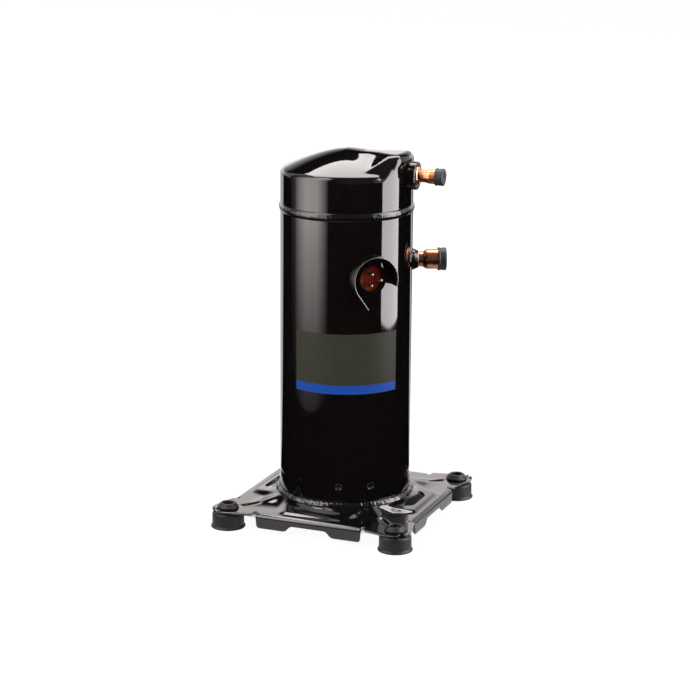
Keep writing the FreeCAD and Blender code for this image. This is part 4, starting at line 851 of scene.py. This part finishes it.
@dataclass
class BasePlate:
    """The stamped base plate: collar, arms, ears, raised lands round the slots, and folded flanges."""

    gauge: float = 3.0
    plane: float = 20.0
    hole: float = 69.9
    collar_top: float = 28.5
    collar_land: float = 73.6
    collar_foot: float = 86.0
    collar_blend: float = 3.0
    arm_end: float = 114.0
    arm_fall: float = 0.30
    arm_flat: float = 2.0
    arm_blend: float = 4.0
    panel_rise: float = 3.0
    panel_tilt: float = 0.12
    panel_soft: float = 6.5
    panel_end: float = 12.0
    panel_edge: float = 97.2
    panel_half: float = 49.0
    panel_taper: float = 8.0
    panel_inner: float = 74.0
    panel_run: float = 22.0
    panel_level: float = 90.0
    panel_blend: float = 2.4
    crest_blend: float = 1.5
    groove_half: float = 5.0
    groove_depth: float = 1.5
    groove_start: Span = (94.0, 101.0)
    groove_end: Span = (116.0, 123.0)
    prong_lift: float = 1.5
    prong_along: Span = (145.5, 152.0)
    prong_across: Span = (3.5, 7.5)
    bend_start: float = 99.5
    bend_radius: float = 4.0
    flange_half: float = 60.0
    tab_low: float = 5.0
    arch_low: float = 11.5
    tab_inner: float = 26.0
    arch_half: float = 20.0
    arm_side: float = 103.5
    arm_flank: float = 15.0
    notch: float = 1.6
    foot: float = FOOT_HALF
    ear_radius: float = 17.3
    ear_bore: float = 10.3
    slit_half: float = 1.6
    edge_width: float = 0.55
    edge_drop: float = 0.35
    spacing: float = 1.7
    outline_step: float = 1.3
    hole_points: int = 300
    slot_outer: float = 90.0
    slot_zone: float = 95.0
    fill_reach: float = 113.0
    row_step: float = 2.7
    row_spacing: float = 2.0
    row_half: int = 29

    def wall_span(self, height: float) -> float:
        """Distance from the axis, on the unfolded sheet, of a point of the flange at that height."""
        arc = math.pi / 2 * self.bend_radius
        return self.bend_start + arc + self.plane - self.bend_radius - height

    def eighth(self) -> list[Span]:
        """Outline of the unfolded sheet from the middle of a side to the diagonal."""
        arch, tab = self.wall_span(self.arch_low), self.wall_span(self.tab_low)
        flank = math.radians(self.arm_flank)
        end, notch, base = self.flange_half, self.notch, self.bend_start - 1.0
        tangent = (self.foot - self.ear_radius * math.sin(flank),
                   self.foot + self.ear_radius * math.cos(flank))
        slope = (tangent[1] - self.arm_side) / (tangent[0] - end)
        start = end + 2 * notch
        path = rounded([
            (0, arch), (self.arch_half, arch, 3.0), (self.tab_inner, tab, 3.0), (end - 1.2, tab, 3.4),
            (end, self.bend_start + 5, 1.0), (end, base),
        ])
        cut = [around(notch, turn) for turn in range(20, 180, 20)]
        path += [(end + notch - u, base - v) for u, v in cut]
        path += rounded([(start, base), (start, self.arm_side + slope * 2 * notch, 1.6), tangent])
        outer = math.degrees(math.asin(self.slit_half / self.ear_radius))
        inner = math.degrees(math.asin(self.slit_half / self.ear_bore))
        path += [self.ear_point(self.ear_radius, turn) for turn in range(100, round(52 + outer), -4)]
        tip = self.ear_point(self.ear_radius, 45 + outer)
        mouth = self.ear_point(self.ear_bore, 45 + inner)
        before = self.ear_point(self.ear_radius, 52 + outer)
        path += rounded([before, (*tip, 1.3), (*mouth, 1.2), self.ear_point(self.ear_bore, 56 + inner)])
        path += [self.ear_point(self.ear_bore, turn) for turn in range(70, 226, 6)]
        path.append(self.ear_point(self.ear_bore, 225))
        return path

    def ear_point(self, reach: float, turn: float) -> Span:
        """A point round the foot's centre."""
        u, v = around(reach, turn)
        return self.foot + u, self.foot + v

    def outline(self) -> list[Vector]:
        """The whole unfolded outline, counter-clockwise, with even steps."""
        eighth = self.eighth()
        quarter = eighth + [(v, u) for u, v in reversed(eighth[:-1])]
        corners = []
        for turn in range(4):
            spin = Matrix.Rotation(math.radians(90 * turn), 2)
            corners += [spin @ Vector((u, -v)) for u, v in quarter[:-1]]
        return self.evened(corners)

    def evened(self, corners: list[Vector]) -> list[Vector]:
        """The closed line through the corners, with long runs divided and short ones dropped."""
        path = []
        for here, ahead in zip(corners, corners[1:] + corners[:1]):
            if path and (here - path[-1]).length < 0.25:
                continue
            count = max(1, round((ahead - here).length / self.outline_step))
            path += [here.lerp(ahead, step / count) for step in range(count)]
        return path

    def slot(self, turn: int) -> list[Vector]:
        """One slot's outline."""
        half = rounded([(0, 87), (18.5, 87, 4.0), (26.2, 80.4, 3.5), (26.6, 77, 2.2), (0, 77)])
        spin = Matrix.Rotation(math.radians(90 * turn), 2)
        whole = half[:-1] + [(-u, v) for u, v in reversed(half[1:])]
        return self.evened([spin @ Vector((u, -v)) for u, v in whole])

    def circle(self) -> list[Vector]:
        """The outline of the hole for the shell."""
        turns = [2 * math.pi * step / self.hole_points for step in range(self.hole_points)]
        return [Vector((self.hole * math.cos(turn), self.hole * math.sin(turn))) for turn in turns]

    def relief(self, point: Vector) -> float:
        """Height of the pressed sheet over its flat plane."""
        reach = point.length
        far, near = self.spans(point)
        along, across = (far + near) / math.sqrt(2), (far - near) / math.sqrt(2)
        rise = self.collar_top - self.plane
        cone = min(rise, rise * (self.collar_foot - reach) / (self.collar_foot - self.collar_land))
        arm = rise * (self.arm_end - along) / (self.arm_end - self.collar_land)
        arm = min(rise, arm - self.arm_fall * soft_max(across, self.arm_flat, self.arm_blend))
        height = soft_max(soft_max(0.0, cone, self.collar_blend), arm, self.collar_blend)
        length = self.panel_half - self.panel_taper * (far - self.panel_inner) / self.panel_run
        mask = smooth_step(0, self.panel_end, length - near)
        mask *= smooth_step(0, self.panel_soft, self.panel_edge - far)
        panel = (self.panel_rise + self.panel_tilt * (self.panel_level - far)) * mask
        height = -soft_max(-rise, -soft_max(height, panel, self.panel_blend), self.crest_blend)
        groove = smooth_step(self.groove_half, 0.0, across) * smooth_step(*self.groove_start, along)
        groove *= 1 - smooth_step(*self.groove_end, along)
        return height - self.groove_depth * groove

    def lift(self, point: Vector) -> float:
        """How far the two prongs beside the slit are rolled up."""
        far, near = self.spans(point)
        along, across = (far + near) / math.sqrt(2), (far - near) / math.sqrt(2)
        rolled = self.prong_lift * smooth_step(*self.prong_along, along)
        return rolled * (1 - smooth_step(*self.prong_across, across))

    def folded(self, point: Vector, depth: float) -> Vector:
        """Where a point of the unfolded sheet lies once the flange is folded.

        Args:
            point: the point on the sheet.
            depth: how far it lies under the outer face.

        Returns:
            Its place, in metres.
        """
        for turn in range(4):
            spun = Matrix.Rotation(math.radians(-90 * turn), 2) @ point
            if -spun.y >= abs(spun.x) - 1e-9:
                break
        across, reach = spun.x, -spun.y
        rise = self.relief(point) + self.lift(point)
        if abs(across) > self.flange_half + 0.01 or reach <= self.bend_start:
            place = Vector((across, -reach, self.plane + rise - depth))
        else:
            arc = math.pi / 2 * self.bend_radius
            angle = min(reach - self.bend_start, arc) / self.bend_radius
            radius = self.bend_radius - depth
            fall = max(0.0, reach - self.bend_start - arc)
            out = self.bend_start + radius * math.sin(angle)
            place = Vector((across, -out, self.plane - self.bend_radius + radius * math.cos(angle) - fall))
        return (Matrix.Rotation(math.radians(90 * turn), 3, "Z") @ place) * MM

    def build(self, shop: Workshop) -> None:
        """Meshes the sheet between its outlines, folds it and gives it its gauge."""
        loops = [self.outline(), self.circle()] + [self.slot(turn) for turn in range(4)]
        points, edges, drops = [], [], []
        for index, loop in enumerate(loops):
            count, base = len(loop), len(points)
            points += loop
            drops += [self.edge_drop if index == 0 else 0.0] * count
            edges += [(base + step, base + (step + 1) % count) for step in range(count)]
        loop_count = len(points)
        for index, loop in enumerate(loops):
            points += self.inset(loop, index == 0)
        points += self.clear(self.filling(), points)
        drops += [0.0] * (len(points) - loop_count)
        flat, _, found, originals, _, _ = geometry.delaunay_2d_cdt(points, edges, [], 0, 1e-5)
        outside = [Vector((0, 0))] + [Vector(corner) for corner in self.eighth()]
        opening = self.slot(0)
        faces = [face for face in found if self.solid((flat[face[0]] + flat[face[1]] + flat[face[2]]) / 3,
                                                      outside, opening)]
        mesh = bpy.data.meshes.new("base_sheet")
        places = [self.folded(point, min((drops[i] for i in origin), default=0.0))
                  for point, origin in zip(flat, originals)]
        mesh.from_pydata(places, [], faces)
        made = bpy.data.objects.new("base_sheet", mesh)
        bpy.context.scene.collection.objects.link(made)
        choose(made)
        open_all()
        bpy.ops.mesh.delete_loose()
        bpy.ops.object.mode_set(mode="OBJECT")
        if sum(face.normal.z for face in made.data.polygons) < 0:
            made.data.flip_normals()
        modify(made, "SOLIDIFY", thickness=self.gauge * MM, offset=-1.0, use_even_offset=True)
        LOG.info("base sheet: %d outline points of %d", loop_count, len(points))
        shop.hand_over(settle(made, "base_pressing", sealed=False), Slot.BASE, ["base_plate"])

    def inset(self, loop: list[Vector], outer: bool) -> list[Vector]:
        """A row of points just inside the sheet, along its outer outline or along an opening."""
        area = sum(a.x * b.y - b.x * a.y for a, b in zip(loop, loop[1:] + loop[:1]))
        side = 1 if outer == (area > 0) else -1
        row = []
        for before, here, after in zip(loop[-1:] + loop[:-1], loop, loop[1:] + loop[:1]):
            run = (after - before).normalized()
            row.append(here + Vector((-run.y, run.x)) * self.edge_width * side)
        return row

    @staticmethod
    def spans(point: Vector) -> Span:
        """How far a point lies from the two middle lines, the larger distance first."""
        return max(abs(point.x), abs(point.y)), min(abs(point.x), abs(point.y))

    @staticmethod
    def clear(more: list[Vector], points: list[Vector], cell: float = 2.0, gap: float = 1.0) -> list[Vector]:
        """Those of more points that keep a gap from every point there already is.

        Args:
            more: the points to choose from.
            points: the points there are.
            cell: side of the squares that the points are sorted into.
            gap: the least distance.

        Returns:
            The points kept.
        """
        near = {}
        for point in points:
            near.setdefault((round(point.x / cell), round(point.y / cell)), []).append(point)
        kept = []
        for point in more:
            u, v = round(point.x / cell), round(point.y / cell)
            close = (other for i in (-1, 0, 1) for j in (-1, 0, 1) for other in near.get((u + i, v + j), ()))
            if all((other - point).length > gap for other in close):
                kept.append(point)
        return kept

    def solid(self, point: Vector, outside: Sequence[Vector], opening: Sequence[Vector]) -> bool:
        """Whether there is sheet at a point.

        Args:
            point: the point.
            outside: one eighth of the sheet, as a closed outline.
            opening: the front slot's outline.

        Returns:
            True on the sheet, False in an opening or beyond the outline.
        """
        far, near = self.spans(point)
        if point.length < self.hole - 0.01:
            return False
        if far < self.slot_zone:
            return far > self.slot_outer or not self.within(Vector((near, -far)), opening)
        return self.within(Vector((near, far)), outside)

    @staticmethod
    def within(point: Vector, loop: Sequence[Vector]) -> bool:
        """Whether a closed line goes round a point."""
        found = False
        for start, end in zip(loop, list(loop[1:]) + [loop[0]]):
            if (start.y > point.y) != (end.y > point.y):
                found ^= point.x < start.x + (end.x - start.x) * (point.y - start.y) / (end.y - start.y)
        return found

    def filling(self) -> list[Vector]:
        """Points between the outlines: an even grid, and closer rows across each fold."""
        made = []
        limit = round(self.fill_reach / self.spacing)
        for i in range(-limit, limit + 1):
            for j in range(-limit, limit + 1):
                point = Vector((i * self.spacing, (j + 0.5 * (i % 2)) * self.spacing))
                far, near = self.spans(point)
                flat = far < self.bend_start - 1.2 or near > self.flange_half + 3.6
                if flat and point.length > self.hole + 0.8:
                    made.append(point)
        rows = [self.bend_start + self.bend_radius * math.radians(turn) for turn in range(-15, 91, 15)]
        rows += [rows[-1] + self.row_step * step for step in (1, 2, 3)]
        for turn in range(4):
            spin = Matrix.Rotation(math.radians(90 * turn), 2)
            for reach in rows:
                for step in range(-self.row_half, self.row_half + 1):
                    made.append(spin @ Vector((step * self.row_spacing, -reach)))
        return made


@dataclass
class Feet:
    """Four moulded rubber feet with a spigot, a flange over the plate and a bolt hole."""

    spread: float = FOOT_HALF
    bore: float = 5.7
    names: tuple[str, ...] = ("front_left_foot", "front_right_foot", "rear_right_foot", "rear_left_foot")
    sides: tuple[tuple[int, int], ...] = ((-1, -1), (1, -1), (1, 1), (-1, 1))

    def build(self, shop: Workshop) -> None:
        """Turns one foot and copies it to the corners."""
        path = rounded([
            (self.bore, 0.0), (18.4, 0.0, 0.6), (18.4, 1.5, 0.6), (17.1, 3.0, 0.8), (16.9, 15.2, 1.4),
            (15.6, 16.95, 0.8), (10.0, 16.95), (10.0, 20.05), (8.8, 20.1), (8.9, 20.9), (11.5, 21.1, 0.5),
            (11.3, 22.6, 0.7), (9.6, 24.2, 1.2), (8.2, 26.35, 0.8), (6.3, 26.35, 0.5),
            (self.bore, 25.6), (self.bore, 0.0),
        ])
        first = turned("foot_pattern", path, 72)
        for name, (x, y) in zip(self.names, self.sides):
            spot = Matrix.Translation((x * self.spread * MM, y * self.spread * MM, 0))
            shop.hand_over(copied(first, name.replace("foot", "rubber"), spot), Slot.FOOT, [name])
        bpy.data.objects.remove(first)


@dataclass
class Port:
    """A copper stub with a swaged socket and its push-on rubber cap."""

    side: str
    azimuth: float
    height: float
    neck: float
    socket: float
    swage: float
    swage_length: float = 4.0
    wall: float = 1.05
    start: float = 60.0
    end: float = 104.0
    grip: float = 7.0
    skin: float = 1.6
    gap: float = 0.08

    def stub(self, shop: Workshop) -> None:
        """The tube: neck, swage and socket."""
        wide = self.socket + self.wall
        bore = self.neck - self.wall
        wide_at = self.swage + self.swage_length
        path = rounded([
            (bore, self.start), (self.neck, self.start), (self.neck, self.swage, 1.4), (wide, wide_at, 1.6),
            (wide, self.end, 0.4), (self.socket, self.end, 0.4), (self.socket, wide_at + 0.8, 1.2),
            (bore, self.swage + 0.4, 1.2), (bore, self.start),
        ])
        made = turned(f"{self.side}_tube", path, 72, port_spot(self.azimuth, self.height))
        finish = Copper(f"{self.side}_copper", (0.60, 0.26, 0.13, 1), (0.48, 0.19, 0.095, 1), 0.30,
                        axis=axis_of(self.azimuth), relief=0.004, cloud=4.0, metallic=1.0,
                        tint_start=self.swage + 2, tint_end=self.swage - 4)
        shop.hand_over(made, Slot.COPPER, [f"{self.side}_stub"], finish=finish)

    def cap(self, shop: Workshop) -> None:
        """The rubber cap: a rolled lip, a sleeve that widens a little, and an end with a round recess."""
        inner = self.socket + self.wall + self.gap
        outer = inner + self.skin
        lip, far = self.end - self.grip, self.end + self.skin + 0.4
        path = rounded([
            (0, self.end + self.gap), (inner, self.end + self.gap, 0.3), (inner, lip, 0.3),
            (outer + 0.05, lip, 0.6), (outer + 0.05, lip + 1.7, 0.5), (outer - 0.55, lip + 2.2, 0.5),
            (outer, far - 0.8, 0.6), (outer - 1.0, far, 0.8), (self.socket * 0.62, far, 0.4),
            (self.socket * 0.54, far - 1.1, 0.4), (0, far - 1.2),
        ], 4)
        made = turned(f"{self.side}_plug", path, 72, port_spot(self.azimuth, self.height))
        shop.hand_over(made, Slot.CAP, [f"{self.side}_cap"], body=f"{self.side}_plug")

    def build(self, shop: Workshop) -> None:
        """Builds the stub and its cap."""
        self.stub(shop)
        self.cap(shop)


@dataclass
class Fittings:
    """What holds the stubs: the black flared cone, the black collar and its ring of braze."""

    cone_bore: float = 8.06
    collar_bore: float = 6.46
    braze_bore: float = 6.42

    def cone(self, shop: Workshop) -> None:
        """The suction stub's flared cone."""
        bore = self.cone_bore
        path = rounded([
            (bore, 68.3), (12.2, 68.3), (11.6, 70.2, 0.9), (11.2, 71.6, 0.8), (9.9, 74.6, 1.5),
            (9.25, 76.0, 0.4), (bore, 76.0), (bore, 68.3),
        ])
        made = turned("suction_cone", path, 72, port_spot(SUCTION_AZIMUTH, SUCTION_HEIGHT))
        finish = EdgedPaint("cone_enamel", BLACK, BLACK_SECOND, 0.12, specular=0.4,
                            axis=axis_of(SUCTION_AZIMUTH), edge=75.4)
        shop.hand_over(made, Slot.SHELL, ["suction_fitting"], finish=finish)

    def collar(self, shop: Workshop) -> None:
        """The discharge stub's collar and the braze round the stub."""
        bore = self.collar_bore
        path = rounded([
            (bore, 67.4), (14.75, 67.4), (14.75, 77.5, 1.0), (9.9, 77.5, 0.4), (9.6, 77.1), (bore, 77.1),
            (bore, 67.4),
        ])
        spot = port_spot(DISCHARGE_AZIMUTH, DISCHARGE_HEIGHT)
        finish = EdgedPaint("collar_enamel", BLACK, BLACK_SECOND, 0.09, specular=0.4,
                            axis=axis_of(DISCHARGE_AZIMUTH), edge=77.25)
        boss = turned("discharge_boss", path, 96, spot)
        shop.hand_over(boss, Slot.SHELL, ["discharge_collar"], finish=finish)
        bore = self.braze_bore
        path = rounded([
            (bore, 76.7), (9.5, 76.7), (9.85, 77.9, 0.7), (8.6, 79.2, 0.9), (6.9, 79.45, 0.5), (bore, 79.3),
            (bore, 76.7),
        ])
        ring = turned("braze_bead", path, 96, spot)
        push(ring, lambda point: point + Vector((0, 0.22, 0.22)) * MM * noise.noise(point * 420))
        shop.hand_over(ring, Slot.BRAZE, ["discharge_braze_ring"])

    def build(self, shop: Workshop) -> None:
        """Builds the cone, the collar and the braze."""
        self.cone(shop)
        self.collar(shop)


@dataclass
class Terminal:
    """The electrical terminal's pins and the bent steel fence round it."""

    height: float = 273.5
    fence_radius: float = 24.3
    fence_gauge: float = 1.5
    fence_edge: float = 0.5
    fence_low: float = 63.0
    fence_out: float = 79.5
    arc_start: float = -18.0
    arc_end: float = 215.0
    leg: float = 19.7
    pin_circle: float = 6.87
    pin_turn: float = -4.0
    pin_radius: float = 1.6
    stem_radius: float = 1.4
    pin_root: float = 55.0
    pin_shoulder: float = 66.0
    pin_tip: float = 76.5

    def fence(self, shop: Workshop) -> None:
        """A strip with rounded edges, spun round the terminal and led on straight."""
        begin()
        place = (self.fence_radius * MM, 0, (self.fence_low + self.fence_out) / 2 * MM)
        bpy.ops.mesh.primitive_plane_add(size=1, location=place, rotation=(math.pi / 2, 0, 0))
        made = bpy.context.active_object
        made.scale = (self.fence_gauge * MM, (self.fence_out - self.fence_low) * MM, 1)
        bpy.ops.object.transform_apply(location=True, rotation=True, scale=True)
        open_all()
        bpy.ops.mesh.bevel(offset=self.fence_edge * MM, segments=3, affect="VERTICES")
        bpy.ops.object.mode_set(mode="OBJECT")
        made.data.transform(Matrix.Rotation(math.radians(self.arc_start), 4, "Z"))
        open_all()
        sweep = math.radians(self.arc_end - self.arc_start)
        bpy.ops.mesh.spin(steps=72, angle=-sweep, center=(0, 0, 0), axis=(0, 0, 1))
        end = math.radians(self.arc_end)
        run = Vector((-math.sin(end), math.cos(end), 0)) * self.leg * MM
        bpy.ops.mesh.extrude_region_move(TRANSFORM_OT_translate={"value": run})
        bpy.ops.object.mode_set(mode="OBJECT")
        settle(made, "fence_strip", port_spot(TERMINAL_AZIMUTH, self.height))
        finish = EdgedPaint("fence_enamel", BLACK, BLACK_SECOND, 0.16, specular=0.4,
                            axis=axis_of(TERMINAL_AZIMUTH), edge=79.3)
        shop.hand_over(made, Slot.SHELL, ["terminal_fence"], finish=finish)

    def pins(self, shop: Workshop) -> None:
        """Three pins with rounded tips."""
        path = rounded([
            (0, self.pin_root), (self.stem_radius, self.pin_root), (self.stem_radius, self.pin_shoulder),
            (self.pin_radius, self.pin_shoulder), (self.pin_radius, self.pin_tip, 0.9), (0, self.pin_tip),
        ])
        made = []
        for index in range(3):
            u, v = around(self.pin_circle, self.pin_turn + 120 * index)
            spot = port_spot(TERMINAL_AZIMUTH, self.height) @ Matrix.Translation((u * MM, v * MM, 0))
            made.append(turned(f"pin_{index}", path, 32, spot))
        shop.hand_over(joined("pin_set", made), Slot.PIN, ["terminal_pins"])

    def build(self, shop: Workshop) -> None:
        """Builds the fence and the pins."""
        self.fence(shop)
        self.pins(shop)


@dataclass(frozen=True)
class Lamp:
    """A round lamp that shines on the object, at an angle counted from the camera's."""

    name: str
    turn: float
    reach: float
    height: float
    size: float
    power: float


LAMPS = (
    Lamp("key", -40, 1500, 1500, 1200, 18.0),
    Lamp("fill", 60, 1600, 1100, 1200, 11.0),
    Lamp("over", 180, 600, 1700, 1200, 10.0),
)


@dataclass
class Studio:
    """Floor, world, lamps, reflecting cards and the camera."""

    azimuth: float = 21.96
    elevation: float = 14.25
    distance: float = 2414.0
    target: float = 200.0
    lens: float = 116.18
    roll: float = 0.43
    shift: Span = (0.0059, -0.0246)
    world_light: float = 0.30
    floor_tone: float = 0.8
    floor_glow: float = 1.08
    floor_shadow: float = 0.12
    left_strength: float = 6.6
    right_strength: float = 10.5
    top_strength: float = 9.0
    rear_strength: float = 1.9
    shade_strength: float = 0.12
    rim_strength: float = 8.0
    lamp_aim: float = 200.0
    ring_opening: float = 190.0
    ring_lift: float = 0.5
    ring_growth: float = 22.0
    gap_start: float = 20.0
    gap_right: float = 30.0
    gap_left: float = 36.0

    def outward(self, turn: float) -> Vector:
        """A level direction, counted from the camera's towards the picture's right."""
        return Vector(axis_of(self.azimuth - 90 + turn))

    def camera(self) -> None:
        """Sets the camera where the photograph was taken from."""
        begin()
        lift = math.radians(self.elevation)
        back = self.outward(0) * math.cos(lift) + Vector((0, 0, math.sin(lift)))
        bpy.ops.object.camera_add(location=Vector((0, 0, self.target * MM)) + back * self.distance * MM)
        made = bpy.context.active_object
        made.rotation_mode = "QUATERNION"
        spin = Matrix.Rotation(math.radians(self.roll), 3, "Z").to_quaternion()
        made.rotation_quaternion = (-back).to_track_quat("-Z", "Y") @ spin
        made.data.sensor_width = 36.0
        made.data.lens = self.lens
        made.data.shift_x, made.data.shift_y = self.shift
        bpy.context.scene.camera = made

    def seen(self, graph: Graph) -> Term:
        """1 for rays from the camera, mirrors and glass, else 0."""
        path = graph.node("ShaderNodeLightPath")
        rays = [Term(graph, path.outputs[f"Is {name} Ray"]) for name in ("Camera", "Glossy", "Transmission")]
        return (rays[0] + rays[1] + rays[2]).held()

    def world(self) -> None:
        """A plain white surround."""
        made = bpy.data.worlds.new("surround")
        bpy.context.scene.world = made
        made.use_nodes = True
        graph = Graph(made.node_tree)
        strength = self.world_light + (1.0 - self.world_light) * self.seen(graph)
        light = graph.node("ShaderNodeBackground", None, {"Color": grey(1.0), "Strength": strength})
        graph.node("ShaderNodeOutputWorld", None, {"Surface": light.outputs[0]})

    def floor(self) -> None:
        """A pale floor with a soft shadow, and painted shade under the base plate, where its glow is taken
        off.
        """
        begin()
        bpy.ops.mesh.primitive_plane_add(size=9)
        made = bpy.context.active_object
        made.name = "floor"
        material, graph = new_material("floor")
        matt = graph.node("ShaderNodeBsdfDiffuse", None, {"Color": grey(self.floor_tone)})
        glow = graph.node("ShaderNodeEmission", None, {"Color": grey(1.0), "Strength": self.floor_glow})
        away = graph.node("ShaderNodeVectorMath", {"operation": "LENGTH"}, {0: graph.spot()})
        far = Term(graph, away.outputs["Value"]).ramp(0.15, 0.55)
        across, deep = graph.along((1, 0, 0)), graph.along((0, 1, 0))
        # painted shade: a soft rectangle under the base plate where the floor's glow is taken off
        under = across.ramp(-0.10, -0.085) * across.ramp(0.082, 0.068)
        under = under * deep.ramp(-0.064, -0.045) * deep.ramp(0.10, 0.09)
        share = self.seen(graph) * (1.0 - self.floor_shadow + self.floor_shadow * far) * (1.0 - under)
        mix = graph.node("ShaderNodeMixShader", None, {0: share, 1: matt.outputs[0], 2: glow.outputs[0]})
        graph.node("ShaderNodeOutputMaterial", None, {"Surface": mix.outputs[0]})
        made.data.materials.append(material)

    def only_mirrored(self, name: str, made: bpy.types.Object,
                      strength: Union[float, Callable[[Graph], Term]], colour: Colour) -> None:
        """Makes a card that only reflections show.

        Args:
            name: its name.
            made: the card.
            strength: its brightness, or what works it out.
            colour: its colour.
        """
        made.name = name
        made.visible_camera = made.visible_diffuse = made.visible_shadow = False
        made.visible_transmission = made.visible_volume_scatter = False
        material, graph = new_material(name)
        power = strength(graph) if callable(strength) else strength
        glow = graph.node("ShaderNodeEmission", None, {"Color": colour, "Strength": power})
        graph.node("ShaderNodeOutputMaterial", None, {"Surface": glow.outputs[0]})
        made.data.materials.append(material)

    def upright(self, turn: float, reach: float, width: float, low: float, high: float) -> bpy.types.Object:
        """An upright card that faces the object, with its own X across it and Y up it."""
        begin()
        bpy.ops.mesh.primitive_plane_add(size=2)
        made = bpy.context.active_object
        out = self.outward(turn)
        across = Vector((-out.y, out.x, 0))
        made.scale = (width / 2 * MM, (high - low) / 2 * MM, 1)
        bpy.ops.object.transform_apply(location=False, rotation=False, scale=True)
        spot = Matrix((across, Vector((0, 0, 1)), out)).transposed().to_4x4()
        spot.translation = out * reach * MM + Vector((0, 0, (low + high) / 2 * MM))
        made.matrix_world = spot
        return made

    def level(self, ahead: float, right: float, height: float, width: float,
              depth: float) -> bpy.types.Object:
        """A level card at that distance towards the camera, to the picture's right and up."""
        begin()
        place = (self.outward(0) * ahead + self.outward(90) * right) * MM + Vector((0, 0, height * MM))
        bpy.ops.mesh.primitive_plane_add(size=1, location=place)
        made = bpy.context.active_object
        made.rotation_euler.z = math.radians(self.azimuth)
        made.scale = (width * MM, depth * MM, 1)
        return made

    def ground(self) -> bpy.types.Object:
        """A wide ring on the floor round the object, with two wedges left open behind."""
        begin()
        middle = (0, 0, self.ring_lift * MM)
        bpy.ops.mesh.primitive_circle_add(
            vertices=72, radius=self.ring_opening * MM, fill_type="NOTHING", location=middle)
        made = bpy.context.active_object
        bpy.ops.object.mode_set(mode="EDIT")
        bpy.ops.mesh.extrude_region_move(TRANSFORM_OT_translate={"value": (0, 0, 0)})
        bpy.ops.transform.resize(value=(self.ring_growth, self.ring_growth, 1), center_override=middle)
        back, right = self.outward(180), self.outward(90)
        shape = bmesh.from_edit_mesh(made.data)
        for face in shape.faces:
            spot = face.calc_center_median()
            turn = math.degrees(spot.xy.normalized().angle(back.xy))
            gap_end = self.gap_right if spot.dot(right) > 0 else self.gap_left
            face.select_set(self.gap_start < turn < gap_end)
        bmesh.update_edit_mesh(made.data)
        bpy.ops.mesh.delete(type="FACE")
        bpy.ops.object.mode_set(mode="OBJECT")
        return made

    def left_glow(self, graph: Graph) -> Term:
        """The left box's brightness, which grows with height and fades at both sides."""
        height = (graph.along((0, 1, 0)) + 0.5).ramp(-0.03, 0.25)
        side = graph.along((1, 0, 0))
        spread = side.ramp(-0.31, -0.05) * 0.92 + 0.08 * side.ramp(-0.5, -0.25)
        return self.left_strength * height * (0.35 + 0.65 * height) * spread * side.ramp(0.335, 0.13)

    @staticmethod
    def back_glow(graph: Graph) -> Term:
        """The brightness of the card behind, which fades upwards."""
        return graph.along((0, 1, 0)).ramp(-0.12, -0.46)

    def cards(self) -> None:
        """Soft boxes round and over the object, and dark cards that keep white out of the paint."""
        left, right, rear = (1.0, 0.94, 0.92, 1.0), (1.0, 0.95, 0.98, 1.0), (1.0, 0.93, 0.92, 1.0)
        over, plain = (1.0, 0.955, 0.94, 1.0), grey(1.0)
        for name, card, strength, colour in (
                ("left_box", self.upright(-64, 500, 1000, 0, 1000), self.left_glow, left),
                ("right_box", self.upright(80, 900, 590, 6, 1300), self.right_strength, right),
                ("top_box", self.level(-560, 165, 1400, 1370, 720), self.top_strength, over),
                ("back_shade", self.upright(180, 1000, 2200, 600, 1600), self.back_glow, plain),
                ("rim_box", self.level(320, -620, 1450, 500, 500), self.rim_strength, over),
                ("front_shade", self.upright(0, 2200, 5000, 60, 2600), self.shade_strength, plain),
                ("roof_shade", self.level(900, 0, 2600, 5000, 2600), self.shade_strength, plain),
                ("rear_box", self.upright(180, 1600, 3200, 250, 900), self.rear_strength, rear),
                ("dark_ground", self.ground(), 0.0, grey(0.0))):
            self.only_mirrored(name, card, strength, colour)

    def lamps(self) -> None:
        """Plain soft light on matt surfaces."""
        for lamp in LAMPS:
            begin()
            place = self.outward(lamp.turn) * lamp.reach * MM + Vector((0, 0, lamp.height * MM))
            bpy.ops.object.light_add(type="AREA", location=place)
            made = bpy.context.active_object
            made.name = lamp.name
            made.rotation_mode = "QUATERNION"
            aim = Vector((0, 0, self.lamp_aim * MM))
            made.rotation_quaternion = (aim - place).to_track_quat("-Z", "Y")
            made.data.shape, made.data.size, made.data.energy = "DISK", lamp.size * MM, lamp.power
            made.visible_glossy = False

    def build(self) -> None:
        """Sets up everything round the object."""
        bpy.context.scene.view_settings.view_transform = "Standard"
        self.camera()
        self.world()
        self.floor()
        self.cards()
        self.lamps()


def main() -> None:
    """Builds the studio and every piece, in order."""
    logging.basicConfig(level=logging.INFO, format="%(message)s")
    Studio().build()
    shop = Workshop()
    TopCap().build(shop)
    Welds().build(shop)
    BasePlate().build(shop)
    Feet().build(shop)
    Fittings().build(shop)
    Port("suction", SUCTION_AZIMUTH, SUCTION_HEIGHT, neck=8.0, socket=9.55, swage=81.0).build(shop)
    Port("discharge", DISCHARGE_AZIMUTH, DISCHARGE_HEIGHT, neck=6.4, socket=6.4, swage=86.0).build(shop)
    Terminal().build(shop)
    shop.dress_frame()
    begin()


if __name__ == "__main__":
    main()
